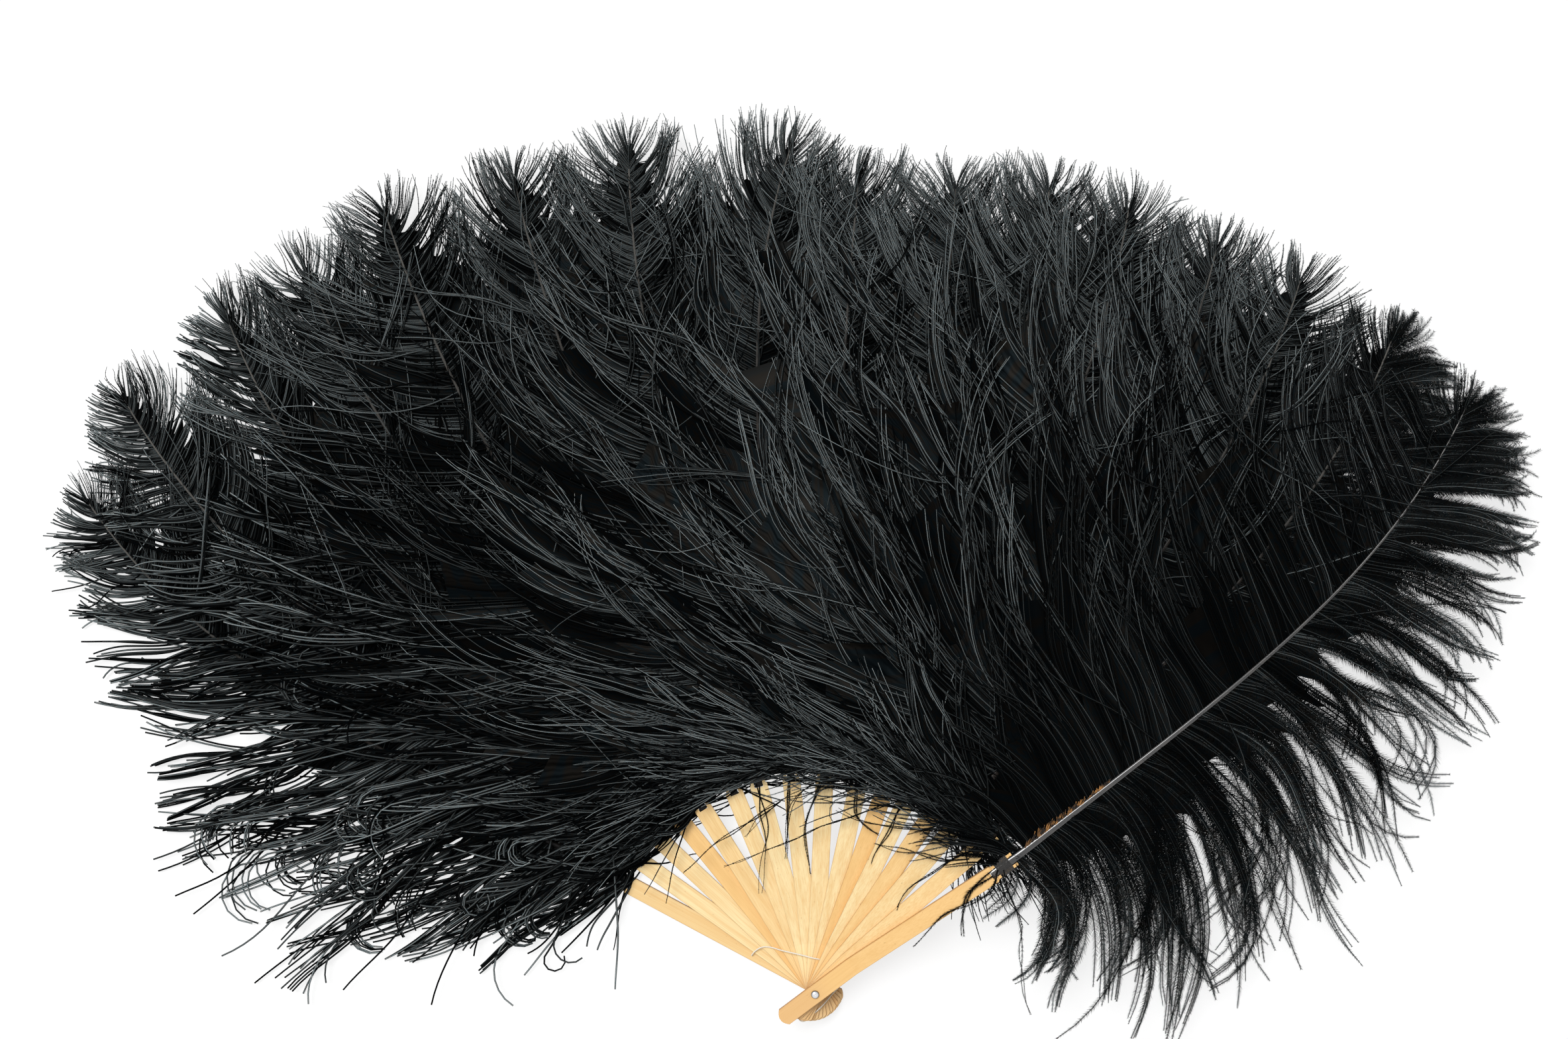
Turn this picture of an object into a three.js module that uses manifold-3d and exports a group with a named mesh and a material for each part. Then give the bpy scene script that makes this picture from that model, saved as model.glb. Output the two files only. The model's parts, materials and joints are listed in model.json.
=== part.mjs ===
// A folding ostrich-feather fan, lying open on its back.
// Sixteen bamboo sticks turn on one rivet. Each has a forked top, with the quill of a feather seated in the
// fork and whipped with thread. Millimetres, +Z up: Z is the rivet's axis, the back of the rear guard is on
// z = 0, and the fan opens towards +Y.
import * as THREE from "three";
import { mergeVertices } from "three/addons/utils/BufferGeometryUtils.js";
import Module from "manifold-3d";

// Directions of the sticks as opened by hand, rear guard first, in degrees counter-clockwise from +X
const STICK_ANGLES = [
  151.8, 144.4, 136.4, 128.6, 121.6, 112.1, 105.2, 96.3, 87.5, 78.6, 71.6, 65.5, 58.3, 51.8, 43.9, 36.7,
];

// Sticks
const STICK_WIDTH = 9.7;
const GUARD_THICKNESS = 2.4;
const STAVE_THICKNESS = 0.9;
const FRONT_TAIL = 23.5; // from the rivet to the rounded end of the front guard
const STAVE_TAIL = 17.5;
const TAIL_CROWN = 2.6; // how far the end bulges past its corners
const SHOULDER_RADIUS = 117.5; // where the stick narrows to its fork
const SHOULDER_LENGTH = 1.2;
const FORK_WIDTH = 8.0;
const FORK_THICKNESS = 0.9;
const FORK_LENGTH = 14;

// Feathers
const QUILL_WIDTH = 4.2;
const QUILL_HEIGHT = 2.2;
const QUILL_PRESSED_HEIGHT = 1.2; // flattened where it is bound into the fork
const RACHIS_TIP_WIDTH = 0.9;
const RACHIS_TIP_HEIGHT = 0.5;
const VANE_THICKNESS = 0.9;
const INNER_BARB_LENGTH = 118;
const OUTER_BARB_LENGTH = 136; // on the open side of the front feather
const TIP_TUFT = 46; // barbs past the end of the rachis
const VANE_SETBACK = 6; // bare quill between the fork and the first barbs
const SHORTEST_TIP_RADIUS = 460; // tip of the shortest feather, from the rivet
const SHORTEST_TIP_ANGLE = 80; // where in the spread the shortest feather would be
const TIP_RISE = 52; // how much further the feathers reach towards the guards
const TIP_RISE_ANGLE = 28; // degrees over which most of that rise happens
const TIP_LEAN = 6.5; // degrees that the outermost tips curl towards the middle
const LOBES_PER_SIDE = 8; // clumps of barbs along each edge
const NOTCH_SHARE = 0.82; // length of the barbs between two clumps
const END_BARB_SHARE = 0.35; // length of the barbs at the tip
const FOOT_BARB_ANGLE = 106; // degrees from the rachis's own direction
const TIP_BARB_ANGLE = 18;
const HANGING_FOOT_ANGLE = 108; // the same on the right of the front feather, whose barbs hang down
const HANGING_TIP_ANGLE = 55;
const BARB_CURL = 12; // degrees that a barb bends each way from its mean direction, back at the foot
const DROOP_SHARE = 0.75; // how far the right-hand barbs sink from their layer to where they would rest
const DROOP_START = 6; // from the stick's line to where they begin to sink
const DROOP_REACH = 140; // and to where they have sunk that far
const REST_PITCH = 0.8; // height from layer to layer of resting barbs

// Bindings
const BINDING_LENGTH = 8;
const BINDING_WALL = 0.35;
const BINDING_SETBACK = 4; // from the quill's end

// Rivet and its washer
const SHANK_DIAMETER = 2.4;
const HEAD_DIAMETER = 4.4;
const HEAD_HEIGHT = 1.5;
const HEAD_RIM = 0.2;
const WASHER_DIAMETER = 5.4;
const WASHER_THICKNESS = 0.6;
const ROUND_SIDES = 16;

// Loose thread, caught between two staves: its route from the caught end to the free end
const THREAD_DIAMETER = 0.7;
const THREAD_SIDES = 8;
const THREAD_LAYER = 10; // the stick that the thread lies on at the rivet
const THREAD_ROUTE = [
  [-9.5, -14.2, 15.05],
  [-7.2, -16.8, 15.05],
  [-4.6, -16.2, 15.05],
  [-1.2, -13.1, 15.05],
  [1.0, -11.2, 15.05],
  [3.4, -9.2, 14.4],
  [7.6, -5.7, 10.2],
  [10.6, -3.2, 6.4],
  [13.4, -1.0, 3.9],
  [15.8, 1.6, 3.3],
  [17.4, 4.8, 4.6],
  [17.5, 8.0, 9.5],
  [15.4, 11.0, 13.6],
  [11.5, 13.8, 15.05],
  [5.4, 16.6, 15.05],
  [2.5, 17.2, 15.05],
  [-0.5, 17.7, 14.9],
  [-6.7, 18.8, 12.6],
  [-17.7, 20.4, 8.7],
  [-26.0, 21.9, 6.1],
  [-29.3, 21.6, 6.0],
  [-32.3, 19.8, 5.2],
  [-33.9, 18.2, 4.6],
  [-34.9, 16.4, 3.3],
];

// Clearances
const LAYER_GAP = 0.3; // between neighbouring sticks at the rivet
const BOUND_LAYER_GAP = 0.4; // between neighbouring bindings
const SEAT_GAP = 0.3; // a piece and what holds it
const TIP_PITCH = 1.2; // height from layer to layer at the feathers' tips
const FLAT_RADIUS = 25; // the sticks lie flat on each other inside this

const LAST = STICK_ANGLES.length - 1;
const PIVOT_PITCH = STAVE_THICKNESS + LAYER_GAP;
const BINDING_HEIGHT = QUILL_PRESSED_HEIGHT + 2 * (SEAT_GAP + BINDING_WALL);
const BOUND_PITCH = Math.max(BINDING_HEIGHT, QUILL_HEIGHT) + BOUND_LAYER_GAP;
const THREAD_ROOM = THREAD_DIAMETER + SEAT_GAP;
const GUARD_EXTRA = (GUARD_THICKNESS - STAVE_THICKNESS) / 2;
const QUILL_START = SHOULDER_RADIUS - 1;
const FORK_END = SHOULDER_RADIUS + FORK_LENGTH;
const VANE_START = FORK_END + VANE_SETBACK;
const LONGEST_TIP_RADIUS = SHORTEST_TIP_RADIUS + TIP_RISE;
const SLOT_WIDTH = QUILL_WIDTH + 2 * SEAT_GAP;
const HOLE_DIAMETER = SHANK_DIAMETER + 2 * SEAT_GAP;

const BAMBOO = new THREE.MeshStandardMaterial({ color: 0xf2c98c, roughness: 0.55, metalness: 0 });
const GUARD_BAMBOO = new THREE.MeshStandardMaterial({ color: 0xe9b878, roughness: 0.5, metalness: 0 });
const FEATHER = new THREE.MeshStandardMaterial({ color: 0x15171a, roughness: 0.7, metalness: 0 });
const BINDING_THREAD = new THREE.MeshStandardMaterial({ color: 0x1b1b1d, roughness: 0.9, metalness: 0 });
const BRIGHT_METAL = new THREE.MeshStandardMaterial({ color: 0xd8d8da, roughness: 0.15, metalness: 1 });
const COTTON = new THREE.MeshStandardMaterial({ color: 0xf4efe2, roughness: 0.95, metalness: 0 });

const wasm = await Module();
wasm.setup();

function toSolid(geometry) {
  const bare = geometry.index ? geometry.toNonIndexed() : geometry.clone();
  bare.deleteAttribute("normal");
  bare.deleteAttribute("uv");
  const merged = mergeVertices(bare, 1e-4);
  return new wasm.Manifold(
    new wasm.Mesh({
      numProp: 3,
      vertProperties: new Float32Array(merged.attributes.position.array),
      triVerts: new Uint32Array(merged.index.array),
    }),
  );
}

function toGeometry(solid) {
  const mesh = solid.getMesh();
  const geometry = new THREE.BufferGeometry();
  geometry.setAttribute("position", new THREE.BufferAttribute(mesh.vertProperties, 3));
  geometry.setIndex(new THREE.BufferAttribute(mesh.triVerts, 1));
  return geometry;
}

// How far a value lies from one limit to another, from 0 to 1.
function shareOf(value, from, to) {
  return THREE.MathUtils.clamp((value - from) / (to - from), 0, 1);
}

// Height from one layer to the next at a distance from the rivet: the sticks lie flat at the rivet, spread
// apart to make room for the bound quills, and the feathers settle together again towards their tips.
function pitchAt(radius) {
  const lift = shareOf(radius, FLAT_RADIUS, QUILL_START - SEAT_GAP);
  const settle = shareOf(radius, VANE_START, LONGEST_TIP_RADIUS);
  const raised = THREE.MathUtils.lerp(PIVOT_PITCH, BOUND_PITCH, lift);
  return THREE.MathUtils.lerp(raised, TIP_PITCH, settle);
}

// Mid-height of a stick's layer: each layer is a surface of revolution about the rivet, so the sticks turn
// past each other without touching.
function layerHeight(stick, radius) {
  let height = GUARD_THICKNESS / 2 + stick * pitchAt(radius);
  if (stick > 0) height += GUARD_EXTRA;
  if (stick === LAST) height += GUARD_EXTRA;
  if (stick > THREAD_LAYER) height += THREAD_ROOM;
  return height;
}

// Joins rings of points, all with the same count, into one closed body with flat ends.
function loft(rings) {
  const count = rings[0].length;
  const positions = rings.flat(2);
  const faces = [];
  for (let ring = 0; ring + 1 < rings.length; ring++) {
    for (let k = 0; k < count; k++) {
      const a = ring * count + k;
      const b = ring * count + ((k + 1) % count);
      faces.push(a, b + count, b, a, a + count, b + count);
    }
  }
  const last = (rings.length - 1) * count;
  for (let k = 1; k + 1 < count; k++) {
    faces.push(0, k, k + 1, last, last + k + 1, last + k);
  }
  const geometry = new THREE.BufferGeometry();
  geometry.setAttribute("position", new THREE.Float32BufferAttribute(positions, 3));
  geometry.setIndex(faces);
  return geometry;
}

// Section of a stick across its length, as four corners.
function stickSection(stick, along, halfWidth, thickness) {
  const height = layerHeight(stick, Math.hypot(along, halfWidth));
  const low = height - thickness / 2;
  const high = height + thickness / 2;
  return [
    [along, halfWidth, low],
    [along, -halfWidth, low],
    [along, -halfWidth, high],
    [along, halfWidth, high],
  ];
}

function uprightCylinder(diameter, bottom, top) {
  const cylinder = new THREE.CylinderGeometry(diameter / 2, diameter / 2, top - bottom, ROUND_SIDES);
  cylinder.rotateX(Math.PI / 2);
  cylinder.translate(0, 0, (bottom + top) / 2);
  return toSolid(cylinder);
}

// A stick along +X from its rounded tail to its forked top, drilled for the rivet.
function stickGeometry(stick) {
  const isGuard = stick === 0 || stick === LAST;
  const thickness = isGuard ? GUARD_THICKNESS : STAVE_THICKNESS;
  const tail = stick === LAST ? FRONT_TAIL : STAVE_TAIL;
  const half = STICK_WIDTH / 2;
  const rings = [];
  const tailSteps = 4;
  for (let step = 0; step <= tailSteps; step++) {
    const across = (half * (step + 1)) / (tailSteps + 1);
    const bulge = TAIL_CROWN * (1 - (across / half) ** 2);
    rings.push(stickSection(stick, TAIL_CROWN - tail - bulge, across, thickness));
  }
  const straight = [TAIL_CROWN - tail, 0, FLAT_RADIUS, (FLAT_RADIUS + SHOULDER_RADIUS) / 2, SHOULDER_RADIUS];
  for (const along of straight) {
    rings.push(stickSection(stick, along, half, thickness));
  }
  rings.push(stickSection(stick, SHOULDER_RADIUS + SHOULDER_LENGTH, FORK_WIDTH / 2, FORK_THICKNESS));
  rings.push(stickSection(stick, FORK_END, FORK_WIDTH / 2, FORK_THICKNESS));

  const middle = layerHeight(stick, 0);
  const slotStart = QUILL_START - SEAT_GAP;
  const slotLength = FORK_LENGTH * 2;
  const slot = new THREE.BoxGeometry(slotLength, SLOT_WIDTH, GUARD_THICKNESS * 2);
  slot.translate(slotStart + slotLength / 2, 0, layerHeight(stick, slotStart));
  let solid = toSolid(loft(rings))
    .subtract(toSolid(slot))
    .subtract(uprightCylinder(HOLE_DIAMETER, middle - thickness, middle + thickness));
  if (stick === 0) {
    const recess = uprightCylinder(WASHER_DIAMETER + 2 * SEAT_GAP, -thickness, WASHER_THICKNESS + SEAT_GAP);
    solid = solid.subtract(recess);
  }
  return toGeometry(solid);
}

function tipRadius(stick) {
  const outward = Math.abs(STICK_ANGLES[stick] - SHORTEST_TIP_ANGLE);
  return SHORTEST_TIP_RADIUS + TIP_RISE * (1 - Math.exp(-outward / TIP_RISE_ANGLE));
}

// Sideways place of the rachis, which curls towards the middle of the fan at its tip.
function rachisSide(stick, along) {
  const middle = (STICK_ANGLES[0] + STICK_ANGLES[LAST]) / 2;
  const half = (STICK_ANGLES[0] - STICK_ANGLES[LAST]) / 2;
  const lean = THREE.MathUtils.degToRad((TIP_LEAN * (middle - STICK_ANGLES[stick])) / half);
  const tip = tipRadius(stick);
  return tip * Math.tan(lean) * shareOf(along, VANE_START, tip) ** 4;
}

// Barbs shorten towards both ends of the vane and sweep from backwards at its foot to forwards at its tip.
function barbLengthShare(share) {
  const swell = Math.sin(Math.PI * (0.15 + 0.85 * share) ** 0.75);
  return THREE.MathUtils.lerp(END_BARB_SHARE, 1, swell);
}

function barbAngle(share, isHanging) {
  const degrees = isHanging
    ? THREE.MathUtils.lerp(HANGING_TIP_ANGLE, HANGING_FOOT_ANGLE, 1 - share)
    : THREE.MathUtils.lerp(TIP_BARB_ANGLE, FOOT_BARB_ANGLE, (1 - share) ** 1.8);
  return THREE.MathUtils.degToRad(degrees);
}

// Height on a feather. Left of its stick's line it keeps to its layer. Right of it the barbs sink towards the
// table, the more the further they are from that line, so that feathers still turn past each other.
function featherHeight(stick, x, y) {
  const radius = Math.hypot(x, y);
  const beside = radius * Math.atan2(-y, x);
  const sunk = DROOP_SHARE * shareOf(beside, DROOP_START, DROOP_REACH);
  const rest = GUARD_THICKNESS + stick * REST_PITCH;
  return THREE.MathUtils.lerp(layerHeight(stick, radius), rest, sunk);
}

// Section of a quill: ten points round an oval. The two side points and their neighbours become the vanes.
function quillSection(stick, along, width, height) {
  const side = rachisSide(stick, along);
  const points = [0, 25, 65, 115, 155, 180, 205, 245, 295, 335];
  return points.map((degrees) => {
    const turn = THREE.MathUtils.degToRad(degrees);
    const y = side - (width / 2) * Math.cos(turn);
    return [along, y, featherHeight(stick, along, y) + (height / 2) * Math.sin(turn)];
  });
}

// Section through a vane: from the right-hand barb tips, over the rachis, to the left-hand ones and back.
function vaneSection(stick, along, share, clump, width, height) {
  const section = quillSection(stick, along, width, height);
  const side = rachisSide(stick, along);
  const place = (x, y, lift) => [x, y, featherHeight(stick, x, y) + lift];
  for (const hand of [-1, 1]) {
    const isHanging = stick === LAST && hand < 0;
    const angle = barbAngle(share, isHanging);
    const curl = THREE.MathUtils.degToRad(BARB_CURL * THREE.MathUtils.lerp(-1, 1, shareOf(share, 0, 0.35)));
    const length = (isHanging ? OUTER_BARB_LENGTH : INNER_BARB_LENGTH) * barbLengthShare(share) * clump;
    const middleX = along + (length / 2) * Math.cos(angle + curl);
    const middleY = side + hand * (length / 2) * Math.sin(angle + curl);
    const edgeX = middleX + (length / 2) * Math.cos(angle - curl);
    const edgeY = middleY + hand * (length / 2) * Math.sin(angle - curl);
    const thickness = Math.min(VANE_THICKNESS, height);
    const [edge, over, under] = hand < 0 ? [0, 1, 9] : [5, 4, 6];
    section[edge] = place(edgeX, edgeY, 0);
    section[over] = place(middleX, middleY, thickness / 2);
    section[under] = place(middleX, middleY, -thickness / 2);
  }
  return section;
}

// A whole feather along +X: pressed quill, round quill, rachis with its two lobed vanes, and the tip.
function featherGeometry(stick) {
  const tip = tipRadius(stick);
  const rachisEnd = tip - TIP_TUFT;
  const rings = [
    quillSection(stick, QUILL_START, QUILL_WIDTH, QUILL_PRESSED_HEIGHT),
    quillSection(stick, QUILL_START + BINDING_SETBACK + BINDING_LENGTH, QUILL_WIDTH, QUILL_PRESSED_HEIGHT),
    quillSection(stick, FORK_END, QUILL_WIDTH, QUILL_HEIGHT),
    quillSection(stick, VANE_START - SEAT_GAP, QUILL_WIDTH, QUILL_HEIGHT),
  ];
  const steps = 2 * LOBES_PER_SIDE;
  for (let step = 0; step <= steps; step++) {
    const share = step / steps;
    const along = THREE.MathUtils.lerp(VANE_START, rachisEnd, share);
    const width = THREE.MathUtils.lerp(QUILL_WIDTH, RACHIS_TIP_WIDTH, share ** 0.7);
    const height = THREE.MathUtils.lerp(QUILL_HEIGHT, RACHIS_TIP_HEIGHT, share ** 0.7);
    const clump = step % 2 === 0 ? 1 : NOTCH_SHARE;
    rings.push(vaneSection(stick, along, share, clump, width, height));
  }
  rings.push(quillSection(stick, tip, RACHIS_TIP_WIDTH, RACHIS_TIP_HEIGHT));
  return loft(rings);
}

// Thread wound round the fork and the quill: a flat sleeve with cut corners.
function bindingGeometry(stick) {
  const clear = SEAT_GAP + BINDING_WALL;
  const outline = (points, halfWidth, halfHeight, corner) => {
    points.moveTo(-halfWidth + corner, -halfHeight);
    points.lineTo(halfWidth - corner, -halfHeight);
    points.lineTo(halfWidth, -halfHeight + corner);
    points.lineTo(halfWidth, halfHeight - corner);
    points.lineTo(halfWidth - corner, halfHeight);
    points.lineTo(-halfWidth + corner, halfHeight);
    points.lineTo(-halfWidth, halfHeight - corner);
    points.lineTo(-halfWidth, -halfHeight + corner);
    points.closePath();
    return points;
  };
  const shape = outline(new THREE.Shape(), FORK_WIDTH / 2 + clear, BINDING_HEIGHT / 2, BINDING_WALL * 1.5);
  const innerHalfHeight = BINDING_HEIGHT / 2 - BINDING_WALL;
  shape.holes.push(outline(new THREE.Path(), FORK_WIDTH / 2 + SEAT_GAP, innerHalfHeight, BINDING_WALL));
  const sleeve = new THREE.ExtrudeGeometry(shape, { depth: BINDING_LENGTH, bevelEnabled: false });
  sleeve.rotateX(Math.PI / 2);
  sleeve.rotateZ(Math.PI / 2);
  const start = QUILL_START + BINDING_SETBACK;
  sleeve.translate(start, 0, layerHeight(stick, start));
  return sleeve;
}

// Domed rivet, from its clinched end flush with the back to its head on the front guard.
function rivetGeometry() {
  const seat = layerHeight(LAST, 0) + GUARD_THICKNESS / 2 + SEAT_GAP;
  const profile = [
    new THREE.Vector2(0, 0),
    new THREE.Vector2(SHANK_DIAMETER / 2, 0),
    new THREE.Vector2(SHANK_DIAMETER / 2, seat),
    new THREE.Vector2(HEAD_DIAMETER / 2, seat),
  ];
  const domeSteps = 5;
  for (let step = 1; step < domeSteps; step++) {
    const turn = (Math.PI / 2) * (step / domeSteps);
    const height = seat + HEAD_RIM + (HEAD_HEIGHT - HEAD_RIM) * Math.sin(turn);
    profile.push(new THREE.Vector2((HEAD_DIAMETER / 2) * Math.cos(turn), height));
  }
  profile.push(new THREE.Vector2(0, seat + HEAD_HEIGHT));
  const rivet = new THREE.LatheGeometry(profile, ROUND_SIDES);
  rivet.rotateX(Math.PI / 2);
  return rivet;
}

function washerGeometry() {
  const ring = new THREE.Shape();
  ring.absarc(0, 0, WASHER_DIAMETER / 2, 0, 2 * Math.PI);
  const bore = new THREE.Path();
  bore.absarc(0, 0, HOLE_DIAMETER / 2, 0, 2 * Math.PI);
  ring.holes.push(bore);
  const settings = { depth: WASHER_THICKNESS, bevelEnabled: false, curveSegments: ROUND_SIDES };
  return new THREE.ExtrudeGeometry(ring, settings);
}

function threadGeometry() {
  const path = new THREE.CatmullRomCurve3(THREAD_ROUTE.map((point) => new THREE.Vector3(...point)));
  const section = new THREE.Shape();
  for (let side = 0; side < THREAD_SIDES; side++) {
    const turn = (2 * Math.PI * side) / THREAD_SIDES;
    const x = (THREAD_DIAMETER / 2) * Math.cos(turn);
    const y = (THREAD_DIAMETER / 2) * Math.sin(turn);
    if (side === 0) section.moveTo(x, y);
    else section.lineTo(x, y);
  }
  section.closePath();
  const steps = Math.round(path.getLength() / (2.5 * THREAD_DIAMETER));
  return new THREE.ExtrudeGeometry(section, { steps, extrudePath: path, bevelEnabled: false });
}

function addMesh(group, name, geometry, material) {
  const mesh = new THREE.Mesh(geometry, material);
  mesh.name = name;
  group.add(mesh);
}

const fan = new THREE.Group();
STICK_ANGLES.forEach((angle, stick) => {
  const turned = new THREE.Group();
  turned.rotation.z = THREE.MathUtils.degToRad(angle);
  const number = String(stick).padStart(2, "0");
  const isRear = stick === 0;
  const isFront = stick === LAST;
  const stickName = isRear ? "rear_guard" : isFront ? "front_guard" : `stave_${number}`;
  const place = isRear ? "rear" : isFront ? "front" : number;
  addMesh(turned, stickName, stickGeometry(stick), isRear || isFront ? GUARD_BAMBOO : BAMBOO);
  addMesh(turned, `feather_${place}`, featherGeometry(stick), FEATHER);
  addMesh(turned, `binding_${place}`, bindingGeometry(stick), BINDING_THREAD);
  fan.add(turned);
});
addMesh(fan, "rivet", rivetGeometry(), BRIGHT_METAL);
addMesh(fan, "rivet_washer", washerGeometry(), BRIGHT_METAL);
addMesh(fan, "loose_thread", threadGeometry(), COTTON);

export default fan;
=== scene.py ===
"""A folding fan: sixteen bamboo sticks, each with a black ostrich feather, lying open on a pale table."""

import json
import math

import bpy
import numpy as np
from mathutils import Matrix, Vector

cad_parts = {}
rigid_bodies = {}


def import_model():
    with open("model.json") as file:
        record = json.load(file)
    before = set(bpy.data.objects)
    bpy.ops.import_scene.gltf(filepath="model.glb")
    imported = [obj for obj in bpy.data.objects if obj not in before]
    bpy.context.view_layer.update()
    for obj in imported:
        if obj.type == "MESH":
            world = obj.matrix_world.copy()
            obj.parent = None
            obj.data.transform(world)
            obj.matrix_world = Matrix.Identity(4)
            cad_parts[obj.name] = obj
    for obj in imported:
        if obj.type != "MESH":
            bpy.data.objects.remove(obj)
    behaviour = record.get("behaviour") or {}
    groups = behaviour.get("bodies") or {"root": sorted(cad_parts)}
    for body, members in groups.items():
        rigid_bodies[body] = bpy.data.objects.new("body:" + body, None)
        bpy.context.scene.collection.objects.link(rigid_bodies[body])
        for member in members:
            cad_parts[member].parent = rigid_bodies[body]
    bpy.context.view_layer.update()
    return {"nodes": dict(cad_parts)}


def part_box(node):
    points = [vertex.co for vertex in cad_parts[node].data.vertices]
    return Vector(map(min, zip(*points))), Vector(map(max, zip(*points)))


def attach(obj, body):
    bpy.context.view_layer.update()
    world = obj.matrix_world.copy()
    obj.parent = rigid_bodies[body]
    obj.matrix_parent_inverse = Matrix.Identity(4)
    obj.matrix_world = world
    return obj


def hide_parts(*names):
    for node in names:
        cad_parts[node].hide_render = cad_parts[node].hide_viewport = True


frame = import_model()


# Camera: it hangs a metre above the table and looks straight down at the open fan. The fan's middle line
# stands upright in the picture, with the rivet at its lower end.
MM = 0.001
CAMERA_PLACE = (-16.9 * MM, 258.5 * MM, 1000 * MM)
CAMERA_LENS = 41.2

scene_pieces = bpy.context.scene.collection.objects
camera = bpy.data.objects.new("camera", bpy.data.cameras.new("camera"))
camera.data.lens = CAMERA_LENS
camera.data.sensor_width = 36
camera.location = CAMERA_PLACE
scene_pieces.link(camera)
bpy.context.scene.camera = camera
bpy.context.scene.view_settings.view_transform = "Standard"


# Table and light: a white table top in a white room, with one broad soft lamp above the fan's left
# shoulder. The table keeps a faint shadow of the fan and stays white round it.
TABLE_SIDE = 8.0
TABLE_DROP = 0.3 * MM
TABLE_WHITE = (0.86, 0.86, 0.86, 1)
TABLE_SEEN = (0.28, 0.28, 0.28, 1)
TABLE_GLOW = 0.75
ROOM_WHITE = (1, 1, 1, 1)
ROOM_STRENGTH = 0.45
LAMP_STRENGTH = 2.3
LAMP_SPREAD = 30
LAMP_FROM = (-0.45, 0.55, 1.2)


def feed(tree, node, inputs):
    """Links other nodes' outputs to a node's sockets, or sets the sockets' own values."""
    for socket, value in inputs.items():
        if isinstance(value, bpy.types.NodeSocket):
            tree.links.new(value, node.inputs[socket])
        else:
            node.inputs[socket].default_value = value


def add_node(tree, kind, inputs, **settings):
    """A new node with its settings and inputs given by name."""
    node = tree.nodes.new(kind)
    for setting, value in settings.items():
        setattr(node, setting, value)
    feed(tree, node, inputs)
    return node


def maths(tree, operation, *values):
    """The result of one operation on numbers or sockets."""
    return add_node(tree, "ShaderNodeMath", dict(enumerate(values)), operation=operation).outputs[0]


def ramp(tree, value, low, high, first=0.0, last=1.0):
    """A value that goes from first to last while another goes from low to high."""
    inputs = {"Value": value, "From Min": low, "From Max": high, "To Min": first, "To Max": last}
    return add_node(tree, "ShaderNodeMapRange", inputs).outputs["Result"]


def mix_colours(tree, share, first, second):
    """The mix of two colours, each given as a colour or as a socket."""
    # Sockets 6 and 7 take the colours, and socket 2 gives their mix.
    return add_node(tree, "ShaderNodeMix", {0: share, 6: first, 7: second}, data_type="RGBA").outputs[2]


def plain_finish(name, finish):
    """A material with one Principled shader, and the values that are even all over."""
    material = bpy.data.materials.new(name)
    material.use_nodes = True
    shader = material.node_tree.nodes["Principled BSDF"]
    feed(material.node_tree, shader, finish)
    return material, material.node_tree, shader


def seen_directly(tree):
    """1 for what the camera sees, also in a mirror or through glass, and 0 for light that bounces on."""
    path = tree.nodes.new("ShaderNodeLightPath")
    seen = maths(tree, "MAXIMUM", path.outputs["Is Camera Ray"], path.outputs["Is Glossy Ray"])
    return maths(tree, "MAXIMUM", seen, path.outputs["Is Transmission Ray"])


half = TABLE_SIDE / 2
corners = [(x, y, -TABLE_DROP) for x, y in ((-half, -half), (half, -half), (half, half), (-half, half))]
table_mesh = bpy.data.meshes.new("table")
table_mesh.from_pydata(corners, [], [(0, 1, 2, 3)])
table = bpy.data.objects.new("table", table_mesh)
scene_pieces.link(table)
table_finish = {"Roughness": 0.9, "Specular IOR Level": 0.0, "Emission Color": ROOM_WHITE}
white, tree, shader = plain_finish("table_white", table_finish)
seen = seen_directly(tree)
colour = mix_colours(tree, seen, TABLE_WHITE, TABLE_SEEN)
glow = maths(tree, "MULTIPLY", seen, TABLE_GLOW)
feed(tree, shader, {"Base Color": colour, "Emission Strength": glow})
table_mesh.materials.append(white)

room = bpy.data.worlds.new("white_room")
bpy.context.scene.world = room
room.use_nodes = True
tree = room.node_tree
strength = ramp(tree, seen_directly(tree), 0, 1, first=ROOM_STRENGTH)
feed(tree, tree.nodes["Background"], {"Color": ROOM_WHITE, "Strength": strength})

lamp = bpy.data.objects.new("lamp", bpy.data.lights.new("lamp", "SUN"))
lamp.data.energy = LAMP_STRENGTH
lamp.data.angle = math.radians(LAMP_SPREAD)
lamp.location = LAMP_FROM
lamp.rotation_euler = lamp.location.to_track_quat("Z", "Y").to_euler()
scene_pieces.link(lamp)


# Loose thread: a soft white cotton end, caught between two staves beside the rivet. It comes out on the
# right, passes under the front guard's tail and lies over the staves. Its free end hangs on the left.
THREAD_DIAMETER = 0.7 * MM
COTTON_SHADE = (214, 205, 186)
COTTON_WHITE = (252, 248, 238)
LINT_DEPTH = 0.1 * MM
THREAD_ROUTE = [
    (-9.5, -14.2, 15.05),
    (-7.2, -16.8, 15.05),
    (-4.6, -16.2, 15.05),
    (-1.2, -13.1, 15.05),
    (1.0, -11.2, 15.05),
    (3.4, -9.2, 14.4),
    (7.6, -5.7, 10.2),
    (10.6, -3.2, 6.4),
    (13.4, -1.0, 3.9),
    (15.8, 1.6, 3.3),
    (17.4, 4.8, 4.6),
    (17.5, 8.0, 9.5),
    (15.4, 11.0, 13.6),
    (11.5, 13.8, 15.05),
    (5.4, 16.6, 15.05),
    (2.5, 17.2, 15.05),
    (-0.5, 17.7, 14.9),
    (-6.7, 18.8, 12.6),
    (-17.7, 20.4, 8.7),
    (-26.0, 21.9, 6.1),
    (-29.3, 21.6, 6.0),
    (-32.3, 19.8, 5.2),
    (-33.9, 18.2, 4.6),
    (-34.9, 16.4, 3.3),
]


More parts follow.
